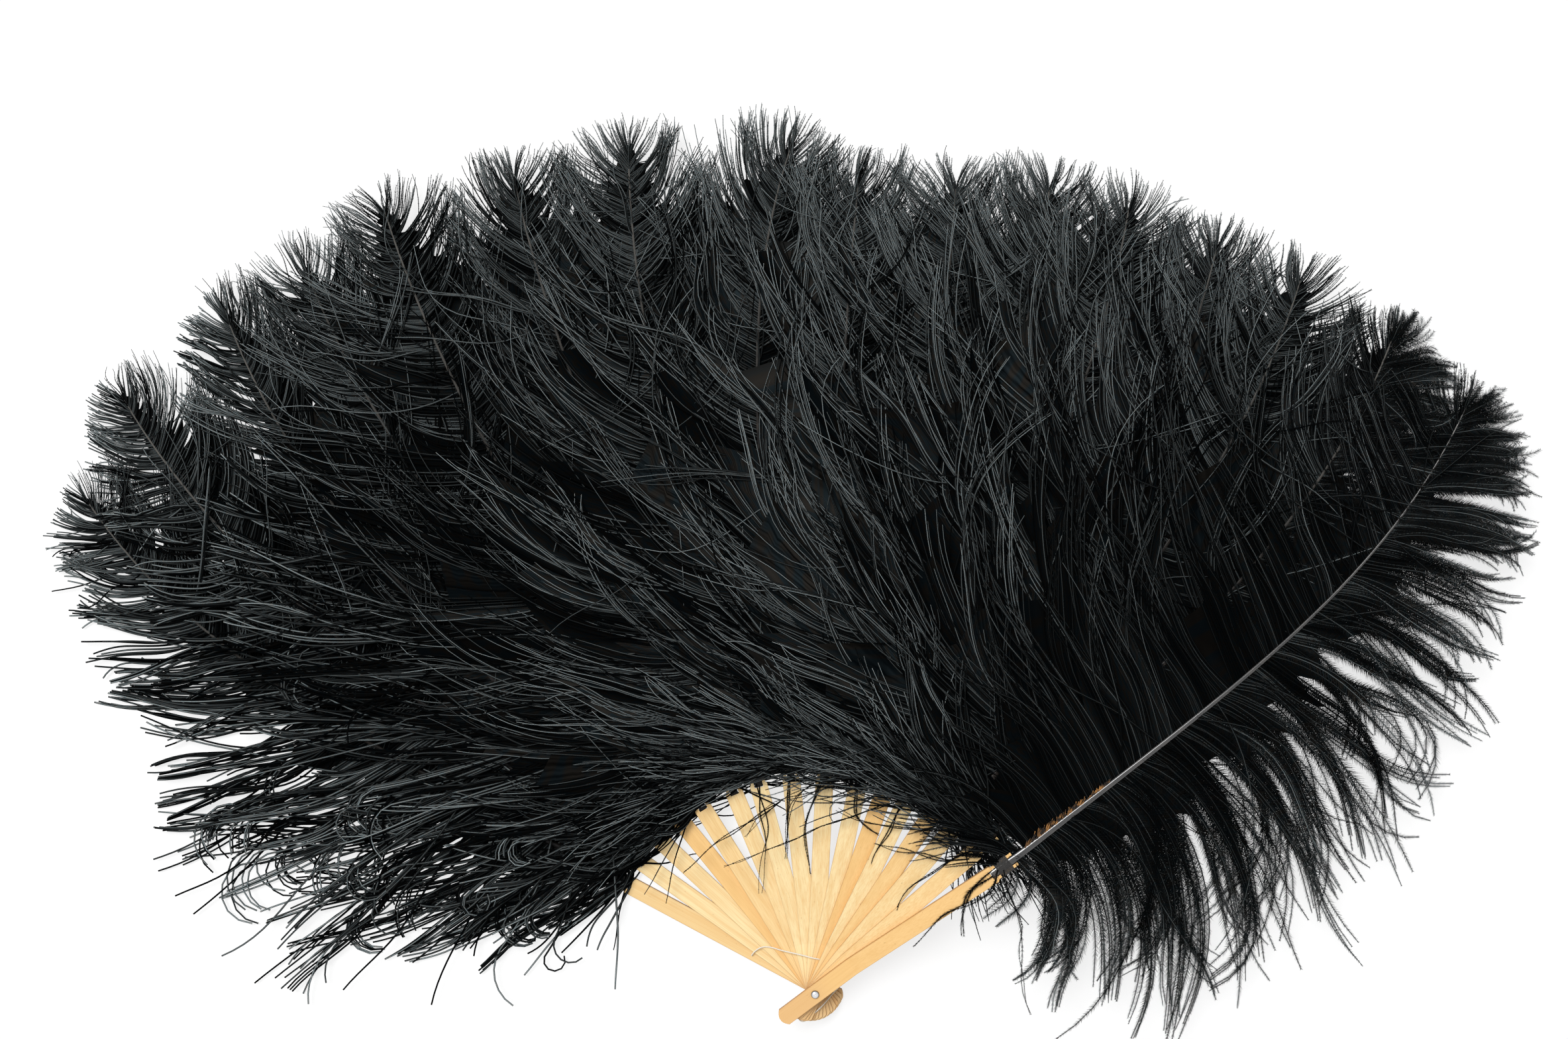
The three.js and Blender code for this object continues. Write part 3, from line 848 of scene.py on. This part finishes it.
# How the barbs bend, in degrees.
SPRING_SCATTER = (3, 1.5)
SIDE_SPRING = 5
CLOSING_PART = (0.95, 1)
CLOSING_POWER = 1.2
CLOSED_SPRING = 0.12
FOOT_SPREAD = 18
FOOT_SPREAD_STICKS = (9, 13)
FOOT_UNSWEPT = 30
WISP_TURN = (16, 44)
WAVER_LENGTH = 50
WAVER_WAVES = 4
WAVER_SPREAD = (0.6, 1.8)
BARB_SCATTER = 2
TOP_SCATTER = 0.4
SWEEP_PLACES = (0, 0.3, 0.6, 1)
SWEEP_POWER = 1.6
WILD_PART = (0.15, 0.8)
WILD_SWEEP = (6, 24)
WILD_EXTRA = 0.16
STRAY_BARBS = 0.05
STRAY_TURN = 28
CURLED_BARBS = 0.1
CURLED_TURN = 40
CLAW_SCATTER = 5
CURL_START = 0.7
HOOKED_PART = 0.36
HOOK_TURN = (90, 260)
HOOK_SCATTER = 9
WAVE_SCATTER = (7, 1)
WAVES_PER_BARB = 1.3


def gentle_noise(where, wavelength, rng):
    """Smooth wavering about zero, with its waves about that long."""
    lengths = wavelength * rng.uniform(*WAVER_SPREAD, WAVER_WAVES)
    phases = rng.uniform(0, 2 * math.pi, WAVER_WAVES)
    waves = np.sin(2 * math.pi * np.asarray(where)[:, None] / lengths + phases)
    return waves.sum(1) / math.sqrt(WAVER_WAVES)


def barb_bends(stick, habit, along, share, lock, rng):
    """Each barb's turn from the shaft at every step, in degrees, and which barbs are wild or stray."""
    count, locks = len(along), lock.max() + 1
    foot, foot_barbs = slice(habit["foot_barbs"]), habit["foot_barbs"]

    def vary(by_lock, by_barb):
        """A random turn for each lock, and a further one for each barb."""
        return rng.normal(0, by_lock, locks)[lock] + rng.normal(0, by_barb, count)

    closing = share_of(share, *CLOSING_PART) ** CLOSING_POWER
    spring = blend(*habit["spring"], 1 - (1 - share) ** 2) * blend(1, CLOSED_SPRING, closing)
    spring = spring + vary(*SPRING_SCATTER) + rng.normal(0, SIDE_SPRING)
    spread = FOOT_SPREAD * share_of(stick, *FOOT_SPREAD_STICKS) * (stick < LAST)
    spring[foot] += rng.uniform(*habit["foot_turn"], foot_barbs) + spread
    wisp = rng.uniform(0, 1, foot_barbs) < habit["wisps"]
    spring[foot] += wisp * rng.uniform(*WISP_TURN, foot_barbs)

    sweep = np.interp(share, SWEEP_PLACES, habit["sweep"]) * (1 - closing)
    sweep = sweep + habit["waver"] * gentle_noise(along, WAVER_LENGTH, rng)
    settled = blend(1, TOP_SCATTER, share_of(share, *TOP_PART))
    sweep = sweep + vary(habit["scatter"], BARB_SCATTER) * settled
    if habit is SWEPT:
        sweep[foot] -= rng.uniform(0, FOOT_UNSWEPT, foot_barbs)
    wild_start, wild_end = WILD_PART
    wild = rng.uniform(0, 1, locks)[lock] < habit["wild"]
    wild = wild & (share > wild_start) & (share < wild_end)
    sweep = sweep + wild * rng.normal(*WILD_SWEEP, locks)[lock]
    stray = rng.uniform(0, 1, count) < STRAY_BARBS
    spring = spring + stray * rng.normal(0, STRAY_TURN, count)

    curled = rng.uniform(0, 1, count) < CURLED_BARBS
    curl = np.where(curled, rng.normal(0, CURLED_TURN, count), vary(habit["claw"], CLAW_SCATTER))
    hooked = rng.uniform(0, 1, locks)[lock] < habit["hooked"]
    hooked = hooked & (share > 0) & (share < HOOKED_PART)
    hook = rng.uniform(*HOOK_TURN, locks)[lock] + rng.normal(0, HOOK_SCATTER, count)
    curl = np.where(hooked, hook, curl)
    wave = vary(*WAVE_SCATTER)
    phase = rng.uniform(0, 1, locks)[lock]

    steps = habit["points"] - 1
    middle = (np.arange(steps) + 0.5) / steps
    bent = spring[:, None] - sweep[:, None] * (1 - (1 - middle) ** SWEEP_POWER)
    bent = bent + curl[:, None] * share_of(middle, CURL_START, 1)
    bent = bent + wave[:, None] * np.sin(2 * math.pi * (WAVES_PER_BARB * middle + phase[:, None]))
    return bent, wild, stray


# How the barbs cling together and rise above the shaft and the table.
CLING_POWER = 1.2
TOP_CLING = 0.25
LOCK_LOFT = (-1.2, 4.2)
BARB_LOFT = 1.2
LOOSE_LOFT = 2.5
LOFT_WAVE = 0.75
OVER_QUILL = 1.4
FRONT_OVER_QUILL = -0.8
OVER_QUILL_LENGTH = 12
TABLE_CLEARANCE = 0.4


def comb_side(stick, hand, habit, rng):
    """The barbs on one side of a feather: centre lines, locks, lengths, places and which bear down."""
    points = habit["points"]
    along, share, lock = barb_roots(stick, habit, rng)
    count, locks = len(along), lock.max() + 1
    length = barb_lengths(stick, habit, along, share, lock, rng)
    bent, wild, stray = barb_bends(stick, habit, along, share, lock, rng)
    length = length * (1 + WILD_EXTRA * wild)

    shaft = rachis_side(stick, along)
    lean = np.arctan(rachis_side(stick, along + 1) - shaft)
    heading = lean[:, None] + hand * np.radians(bent)
    step = (length / (points - 1))[:, None]
    flat = np.zeros((count, points, 2))
    flat[:, 1:, 0] = np.cumsum(step * np.cos(heading), axis=1)
    flat[:, 1:, 1] = np.cumsum(step * np.sin(heading), axis=1)
    flat += np.stack([along, shaft], -1)[:, None, :]

    total = np.zeros((locks, points, 2))
    np.add.at(total, lock, flat)
    together = total / np.maximum(np.bincount(lock, minlength=locks), 1)[:, None, None]
    run = np.linspace(0, 1, points)
    loose = blend(1, TOP_CLING, share_of(share, *TOP_PART)) * ~stray
    cling = (rng.uniform(*habit["cling"], locks)[lock] * loose)[:, None] * run ** CLING_POWER
    flat += cling[..., None] * (together[lock] - flat)

    height = feather_height(stick, flat[..., 0], flat[..., 1])
    loft = rng.uniform(*LOCK_LOFT, locks)[lock] + rng.normal(0, BARB_LOFT, count)
    loft = loft + LOOSE_LOFT * stray + LOOSE_LOFT * wild
    height = height + loft[:, None] * np.sin(math.pi * run * LOFT_WAVE)
    lift = FRONT_OVER_QUILL if stick == LAST else OVER_QUILL
    over_quill = lift * (along < VANE_START + OVER_QUILL_LENGTH)
    height = np.maximum(height + over_quill[:, None] * (1 - run), TABLE_CLEARANCE)
    lines = np.concatenate([flat, height[..., None]], -1)
    return lines, lock, length, share, ~wild & ~stray & (share > 0)


# Slipped barbs: each one's feather, and its route over the sticks.
LOOSE_PAIR = 2
LOOSE_SMOOTHING = 4
LOOSE_WAVE = 45.0
LOOSE_LENGTH = 60.0
LOOSE_PAINTED_SHEEN = 0.3
LOOSE_SLIM = 0.6
LOOSE_LIFT = 1.0
FRONT_LOOSE_LIFT = 1.9
LOOSE_BARBS = [
    (0, [(-102, 62), (-108, 42), (-112.3, 20.9)]),
    (6, [(-31, 114), (-26.6, 88.8), (-27.7, 78.9), (-29.9, 53.8)]),
    (7, [(-13.4, 119), (-15.6, 94.3), (-16, 73.1)]),
    (7, [(-19, 106), (-38.1, 91.7), (-55, 80.5), (-72.7, 66.4)]),
    (8, [(4, 118), (-6.1, 93.2), (-3.2, 64.7)]),
    (10, [(36, 116.5), (15, 119.5), (-6, 116.5), (-14.5, 106), (-16.5, 78.5)]),
    (11, [(57, 106), (40.5, 110), (17, 117), (-8.5, 113.5), (-25.5, 106), (-38, 87.5)]),
    (11, [(50, 110), (16.9, 98.3), (-6.1, 87.3), (-48.8, 71.3)]),
    (11, [(24, 118), (19, 97.5), (34.4, 88.8)]),
    (11, [(50, 109), (45.3, 103), (30.4, 72)]),
    (13, [(70, 95.5), (57.5, 91), (40.5, 93.5), (23.5, 97.5), (11, 103)]),
    (14, [(82.5, 77), (68, 74.5), (53, 83), (40.5, 80.5), (32, 85)]),
    (14, [(86, 84), (65, 70.2), (49.7, 63.2), (44.2, 48.3)]),
    (15, [(97, 73), (96.8, 60.3), (74.9, 52.7), (53.4, 29.7)]),
    (15, [(94, 71), (79.3, 61.4), (79.3, 35.1)]),
    (15, [(99, 72), (102.3, 58.1), (109.9, 48.3), (108.8, 39.5), (111, 10), (115.4, -7.6)]),
]


def loose_lines(stick, points, rng):
    """Barbs that have slipped off a feather and lie over the sticks in pairs."""
    cosine, sine = math.cos(stick_angles[stick]), math.sin(stick_angles[stick])
    lift = FRONT_LOOSE_LIFT if stick == LAST else LOOSE_LIFT
    lines = []
    for owner, route in LOOSE_BARBS * LOOSE_PAIR:
        if owner != stick:
            continue
        knots = np.array(route, float)
        reach = np.concatenate([[0], np.cumsum(np.hypot(*np.diff(knots, axis=0).T))])
        even = np.linspace(0, reach[-1], points)
        line = np.stack([np.interp(even, reach, knots[:, axis]) for axis in (0, 1)], -1)
        for _ in range(LOOSE_SMOOTHING):
            line[1:-1] = (line[:-2] + 2 * line[1:-1] + line[2:]) / 4
        line += np.stack([gentle_noise(even, LOOSE_WAVE, rng) for _ in range(2)], -1)
        line = line @ np.array([[cosine, -sine], [sine, cosine]])
        height = feather_height(stick, line[:, 0], line[:, 1]) + lift
        lines.append(np.concatenate([line, height[:, None]], -1))
    return np.array(lines).reshape(-1, points, 3)


# Stems, barbules and down, a dark sheet of painted shade. On a vane's map, x is a barb's painted sheen, y
# runs along it.
UP = (0.0, 0.0, 1.0)
STEM_RISE = 0.8
TOP_SLIM = 0.55
TOP_SLIM_PART = (0.75, 1)
RIGHT_SPACING = 1.7
FEWEST_BARBULES = 4
BARBULE_SCATTER = (0.2, 0.8)
BARB_ROLL = 0.35
SPLAY_FADE = (1.25, 0.8)
SPLAY_SCATTER = 4
BARB_TILT = (-0.5, 0.2)
TILT_SCATTER = 0.2
BARB_FULLNESS = (0.8, 1.2)
BARBULE_SIZES = (0.75, 1.2)
ROOT_SIZE = 0.45
ROOT_GROWTH = 2.5
TAPER_POWER = 3
DOWN_POINTS = 8
DOWN_END = 1.01
DOWN_DROP = 1.2
DOWN_REACH = (0.6, 1.2)
BARBULE_PAINTED_SHEEN = 0.34
STEM_EDGE_PAINTED_SHEEN = 0.25
DOWN_PAINTED_SHEEN = 0.4
MAP_START = 0.02
MAP_LENGTH = 0.95
MAP_COLUMN = 0.004
MAP_BARBULE = 0.012
DOWN_MAP = (0.3, 0.02)


def unit(vectors):
    """The vectors' directions."""
    return vectors / np.maximum(np.linalg.norm(vectors, axis=-1, keepdims=True), 1e-9)


def triangles(corners):
    """Triangles from sets of their first, second and third corners."""
    return np.concatenate([np.stack(corner, -1).reshape(-1, 3) for corner in corners])


def strips(lines, half_width, rise):
    """Ridged ribbons along centre lines, as points and triangles."""
    count, points = lines.shape[:2]
    forward = unit(np.gradient(lines, axis=1))
    across = unit(np.cross(forward, UP))
    ridge = np.cross(across, forward)
    half_width = half_width[..., None]
    edge = across * half_width
    places = np.stack([lines - edge, lines + ridge * half_width * rise, lines + edge], 2)
    strip, point = np.meshgrid(np.arange(count), np.arange(points - 1), indexing="ij")
    here = (strip * points + point) * 3
    there = here + 3
    corners = [
        (here, here + 1, there + 1),
        (here, there + 1, there),
        (here + 1, here + 2, there + 2),
        (here + 1, there + 2, there + 1),
    ]
    return places.reshape(-1, 3), triangles(corners)


def strip_map(points, painted_sheen):
    """Places of ridged ribbons on the map, with less painted sheen on their edges than on their middles.
    """
    edge_sheen = STEM_EDGE_PAINTED_SHEEN * painted_sheen
    laid_out = np.empty((len(painted_sheen), points, 3, 2))
    laid_out[..., 0] = np.stack([edge_sheen, painted_sheen, edge_sheen], -1)[:, None, :]
    laid_out[..., 1] = (MAP_START + MAP_LENGTH * np.linspace(0, 1, points))[None, :, None]
    return laid_out.reshape(-1, 2)


def down_and_shade_sheet(lines, painted_sheen):
    """A dark sheet of down joining each centre line to the next, painted shade that fills the gaps
    between barbs.
    """
    count, points = lines.shape[:2]
    line, point = np.meshgrid(np.arange(count - 1), np.arange(points - 1), indexing="ij")
    here = line * points + point
    corners = [(here, here + 1, here + points + 1), (here, here + points + 1, here + points)]
    laid_out = np.empty((count, points, 2))
    laid_out[..., 0] = painted_sheen[:, None]
    laid_out[..., 1] = blend(*DOWN_MAP, np.linspace(0, 1, points))
    return lines.reshape(-1, 3), triangles(corners), laid_out.reshape(-1, 2)


def barbules(lines, lengths, painted_sheen, comb, rng):
    """Combs of fine barbules on both sides of the stems, as thin triangles."""
    count, points = lines.shape[:2]
    forward = unit(np.gradient(lines, axis=1))
    combs = np.maximum(np.round(lengths / comb["spacing"]).astype(int), FEWEST_BARBULES)
    owner = np.repeat(np.arange(count), combs)
    first = np.concatenate([[0], np.cumsum(combs)[:-1]])
    order = np.arange(len(owner)) - first[owner]
    share = (order + rng.uniform(*BARBULE_SCATTER, len(owner))) / combs[owner]
    spot = share * (points - 1)
    before = np.minimum(spot.astype(int), points - 2)
    past = (spot - before)[:, None]
    place = blend(lines[owner, before], lines[owner, before + 1], past)
    ahead = unit(blend(forward[owner, before], forward[owner, before + 1], past))
    roll = rng.normal(0, BARB_ROLL, count)[owner][:, None]
    level = unit(np.cross(ahead, UP))
    side = level * np.cos(roll) + np.cross(level, ahead) * np.sin(roll)
    above = np.cross(side, ahead)
    splay = comb["splay"] * blend(*SPLAY_FADE, share) + rng.normal(0, SPLAY_SCATTER, len(owner))
    splay = np.radians(splay)[:, None]
    tilt = rng.uniform(*BARB_TILT, count)[owner] + rng.normal(0, TILT_SCATTER, len(owner))
    tilt = tilt[:, None]
    size = comb["reach"] * rng.uniform(*BARB_FULLNESS, count)[owner]
    size = size * np.minimum(1, ROOT_SIZE + ROOT_GROWTH * share)
    size = size * (1 - comb["taper"] * share ** TAPER_POWER)
    size = (size * rng.uniform(*BARBULE_SIZES, len(owner)))[:, None]
    tips = []
    for hand in (-1, 1):
        outward = hand * np.cos(tilt) * side + np.sin(tilt) * above
        tips.append(place + size * (np.cos(splay) * ahead + np.sin(splay) * outward))
    base = ahead * comb["base"]
    places = np.stack([place - base, place + base, *tips], 1)
    start = 4 * np.arange(len(owner))
    corners = [(start + 1, start, start + 2), (start, start + 1, start + 3)]
    laid_out = np.empty((len(owner), 4, 2))
    # Barbules take only a share of their barb's painted sheen, so they are painted darker than its stem.
    laid_out[..., 0] = BARBULE_PAINTED_SHEEN * painted_sheen[owner][:, None] + MAP_COLUMN * np.array([-1, 1, 0, 0])
    laid_out[..., 1] = (MAP_START + MAP_LENGTH * share)[:, None] + MAP_BARBULE * np.array([0, 0, 1, 1])
    return places.reshape(-1, 3), triangles(corners), laid_out.reshape(-1, 2)


def plume(lines, lengths, slim, downy, painted_sheen, comb, rng):
    """One side of a feather: stems, their barbules, and the dark sheet of down under them, painted shade
    between barbs.
    """
    points = lines.shape[1]
    reach = comb["down"] * slim[downy] ** 2 * rng.uniform(*DOWN_REACH, downy.sum())
    spot = reach[:, None] * np.linspace(0, points - DOWN_END, DOWN_POINTS)
    before = spot.astype(int)
    row = np.flatnonzero(downy)[:, None]
    down = blend(lines[row, before], lines[row, before + 1], (spot - before)[..., None])
    down[..., 2] = np.maximum(down[..., 2] - DOWN_DROP, TABLE_CLEARANCE)
    thinner = 1 - comb["thinning"] * np.linspace(0, 1, points)
    stem_width = slim[:, None] * comb["stem"] / 2 * thinner
    parts = [
        (*strips(lines, stem_width, STEM_RISE), strip_map(points, painted_sheen)),
        down_and_shade_sheet(down, DOWN_PAINTED_SHEEN * painted_sheen[downy]),
        barbules(lines, lengths, painted_sheen, comb, rng),
    ]
    starts = np.cumsum([0] + [len(part[0]) for part in parts[:-1]])
    places = np.concatenate([part[0] for part in parts])
    places[:, 2] = np.maximum(places[:, 2], TABLE_CLEARANCE / 2)
    faces = np.concatenate([part[1] + start for part, start in zip(parts, starts)])
    return places, faces, np.concatenate([part[2] for part in parts])


# Dye and painted sheen, from the rearmost feather to the foremost.
FEATHER_PAINTED_SHEEN = [
    0.55, 0.52, 0.52, 0.52, 0.53, 0.58, 0.68, 0.72,
    0.76, 0.76, 0.74, 0.7, 0.68, 0.58, 0.5, 0.48,
]
RIGHT_PAINTED_SHEEN = 0.6
FRONT_RIGHT_PAINTED_SHEEN = 1.5
FOOT_PAINTED_SHEEN = -0.1
TOP_PAINTED_SHEEN = 0.42
FRONT_TOP_PAINTED_SHEEN = 0.1
TOP_SHEEN_PART = (0.45, 0.9)
FRONT_SHEEN_SCATTER = 0.5
LOCK_SHEEN_SCATTER = 0.2
BARB_SHEEN_SCATTER = 0.35
PAINTED_SHEEN_LIMITS = (0.02, 0.98)
BLUE_BLACK = srgb(5, 8, 10)
BROWN_BLACK = srgb(9, 8, 7)
BLUE_PAINTED_SHEEN = srgb(196, 232, 246)
BROWN_PAINTED_SHEEN = srgb(240, 230, 216)
PAINTED_SHEEN_POWER = 2.7
FULL_SHINE = 0.8


def dyed_feather():
    """Black dye on ostrich barbs, blue-black to brown-black, with painted sheen lightening barbs from
    dull to bright.
    """
    finish = {"Specular IOR Level": 0.0, "Coat Roughness": 0.38}
    material, tree, shader = plain_finish("dyed_feather", finish)
    spot = add_node(tree, "ShaderNodeUVMap", {}, uv_map="OFBake").outputs["UV"]
    parts = add_node(tree, "ShaderNodeSeparateXYZ", {0: spot})
    painted_sheen, along = parts.outputs["X"], parts.outputs["Y"]
    drawn = add_node(tree, "ShaderNodeMapping", {"Vector": spot, "Scale": (230, 6, 1)})
    uneven = noise(tree, drawn.outputs["Vector"], scale=1.0, detail=2.0)
    hue = ramp(tree, noise(tree, spot, scale=45.0, detail=0.0), low=0.4, high=0.62)
    dark = mix_colours(tree, hue, BLUE_BLACK, BROWN_BLACK)
    light = mix_colours(tree, hue, BLUE_PAINTED_SHEEN, BROWN_PAINTED_SHEEN)
    # Painted sheen: the colour is lightened towards the sheen colours, more on barbs with more sheen,
    # towards their tips and in patches.
    level = maths(tree, "MULTIPLY", painted_sheen, ramp(tree, along, 0, 1, first=0.6, last=1.1))
    level = maths(tree, "POWER", level, PAINTED_SHEEN_POWER)
    level = maths(tree, "MULTIPLY", level, ramp(tree, uneven, low=0.32, high=0.66))
    colour = mix_colours(tree, level, dark, light)
    rough = ramp(tree, uneven, 0, 1, first=0.3, last=0.5)
    coat = ramp(tree, level, 0, FULL_SHINE)
    feed(tree, shader, {"Base Color": colour, "Roughness": rough, "Coat Weight": coat})
    return material


feather_black = dyed_feather()
for stick, node in enumerate(FEATHERS):
    fullness = stick / LAST
    is_front = stick >= LAST - 1
    for hand, side_name in ((1, "left"), (-1, "right")):
        habit = vane_habit(stick, hand)
        sparse = RIGHT_SPACING if habit is SWEPT and hand < 0 else 1
        comb = habit | {
            "spacing": blend(*habit["spacing"], fullness) * sparse,
            "reach": blend(*habit["reach"], fullness),
        }
        rng = np.random.default_rng(VANE_SEED_STEP * stick + hand + 1)
        lines, lock, lengths, share, downy = comb_side(stick, hand, habit, rng)
        slim = blend(1, TOP_SLIM, share_of(share, *TOP_SLIM_PART))
        right_sheen = FRONT_RIGHT_PAINTED_SHEEN if is_front else RIGHT_PAINTED_SHEEN
        painted_sheen = FEATHER_PAINTED_SHEEN[stick] * (1 if hand > 0 else right_sheen)
        top_sheen = FRONT_TOP_PAINTED_SHEEN if is_front else TOP_PAINTED_SHEEN
        painted_sheen = painted_sheen + FOOT_PAINTED_SHEEN + top_sheen * share_of(share, *TOP_SHEEN_PART)
        # The painted sheen differs from lock to lock and from barb to barb.
        uneven = rng.normal(0, LOCK_SHEEN_SCATTER, lock.max() + 1)[lock] + rng.normal(0, BARB_SHEEN_SCATTER, len(lines))
        painted_sheen = painted_sheen + (FRONT_SHEEN_SCATTER if is_front else 1) * uneven
        if hand > 0:
            slipped = loose_lines(stick, lines.shape[1], rng)
            lines = np.concatenate([lines, slipped])
            lengths = np.append(lengths, [LOOSE_LENGTH] * len(slipped))
            painted_sheen = np.append(painted_sheen, [LOOSE_PAINTED_SHEEN] * len(slipped))
            slim = np.append(slim, [LOOSE_SLIM] * len(slipped))
            downy = np.append(downy, np.zeros(len(slipped), bool))
        painted_sheen = np.clip(painted_sheen, *PAINTED_SHEEN_LIMITS)
        places, faces, laid_out = plume(lines, lengths, slim, downy, painted_sheen, comb, rng)
        name = f"{node.replace('feather', 'vane')}_{side_name}"
        vane = mesh_piece(name, turn_to_stick(stick, places), faces)
        layer = vane.data.uv_layers.new(name="OFBake")
        layer.uv.foreach_set("vector", laid_out[faces.ravel()].astype(np.float32).ravel())
        vane.data.materials.append(feather_black)
        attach(vane, STICKS[stick])
        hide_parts(node)


# Stubble: short undyed roots of barbs that were pulled or cut off low on the left of the front quill. The
# dye has only partly taken on them, so they show golden brown against the horn.
STUBBLE_BARBS = 90
STUBBLE_POINTS = 4
STUBBLE_PART = (139.0, 196.0)
STUBBLE_LENGTH = (3.0, 6.5)
STUBBLE_SHORTER = 0.5
STUBBLE_TURN = (34, 9)
STUBBLE_SIDE = 1.2
STUBBLE_LIFT = 0.9
STUBBLE_HALF_WIDTH = 0.22
STUBBLE_RISE = 0.5
STUBBLE_SEED = 7
DYED_ROOT = srgb(30, 22, 15)
GOLDEN_ROOT = srgb(148, 104, 56)

golden, tree, shader = plain_finish("undyed_roots", {"Roughness": 0.6, "Specular IOR Level": 0.2})
undyed = ramp(tree, noise(tree, own_place(tree), scale=260.0, detail=2.0), low=0.42, high=0.6)
feed(tree, shader, {"Base Color": mix_colours(tree, undyed, DYED_ROOT, GOLDEN_ROOT)})

rng = np.random.default_rng(STUBBLE_SEED)
along = rng.uniform(*STUBBLE_PART, STUBBLE_BARBS)
length = rng.uniform(*STUBBLE_LENGTH, STUBBLE_BARBS)
length = length * blend(1, STUBBLE_SHORTER, share_of(along, *STUBBLE_PART))
run = np.linspace(0, 1, STUBBLE_POINTS)[None, :] * length[:, None]
heading = np.radians(rng.normal(*STUBBLE_TURN, STUBBLE_BARBS))[:, None]
lines = np.empty((STUBBLE_BARBS, STUBBLE_POINTS, 3))
lines[..., 0] = along[:, None] + run * np.cos(heading)
lines[..., 1] = rachis_side(LAST, along)[:, None] + STUBBLE_SIDE + run * np.sin(heading)
lines[..., 2] = feather_height(LAST, lines[..., 0], lines[..., 1]) + STUBBLE_LIFT
half_width = np.full((STUBBLE_BARBS, STUBBLE_POINTS), STUBBLE_HALF_WIDTH)
places, faces = strips(lines, half_width, STUBBLE_RISE)
stubble = mesh_piece("quill_front_stubble", turn_to_stick(LAST, places), faces)
stubble.data.materials.append(golden)
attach(stubble, STICKS[LAST])
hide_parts(FEATHERS[LAST])
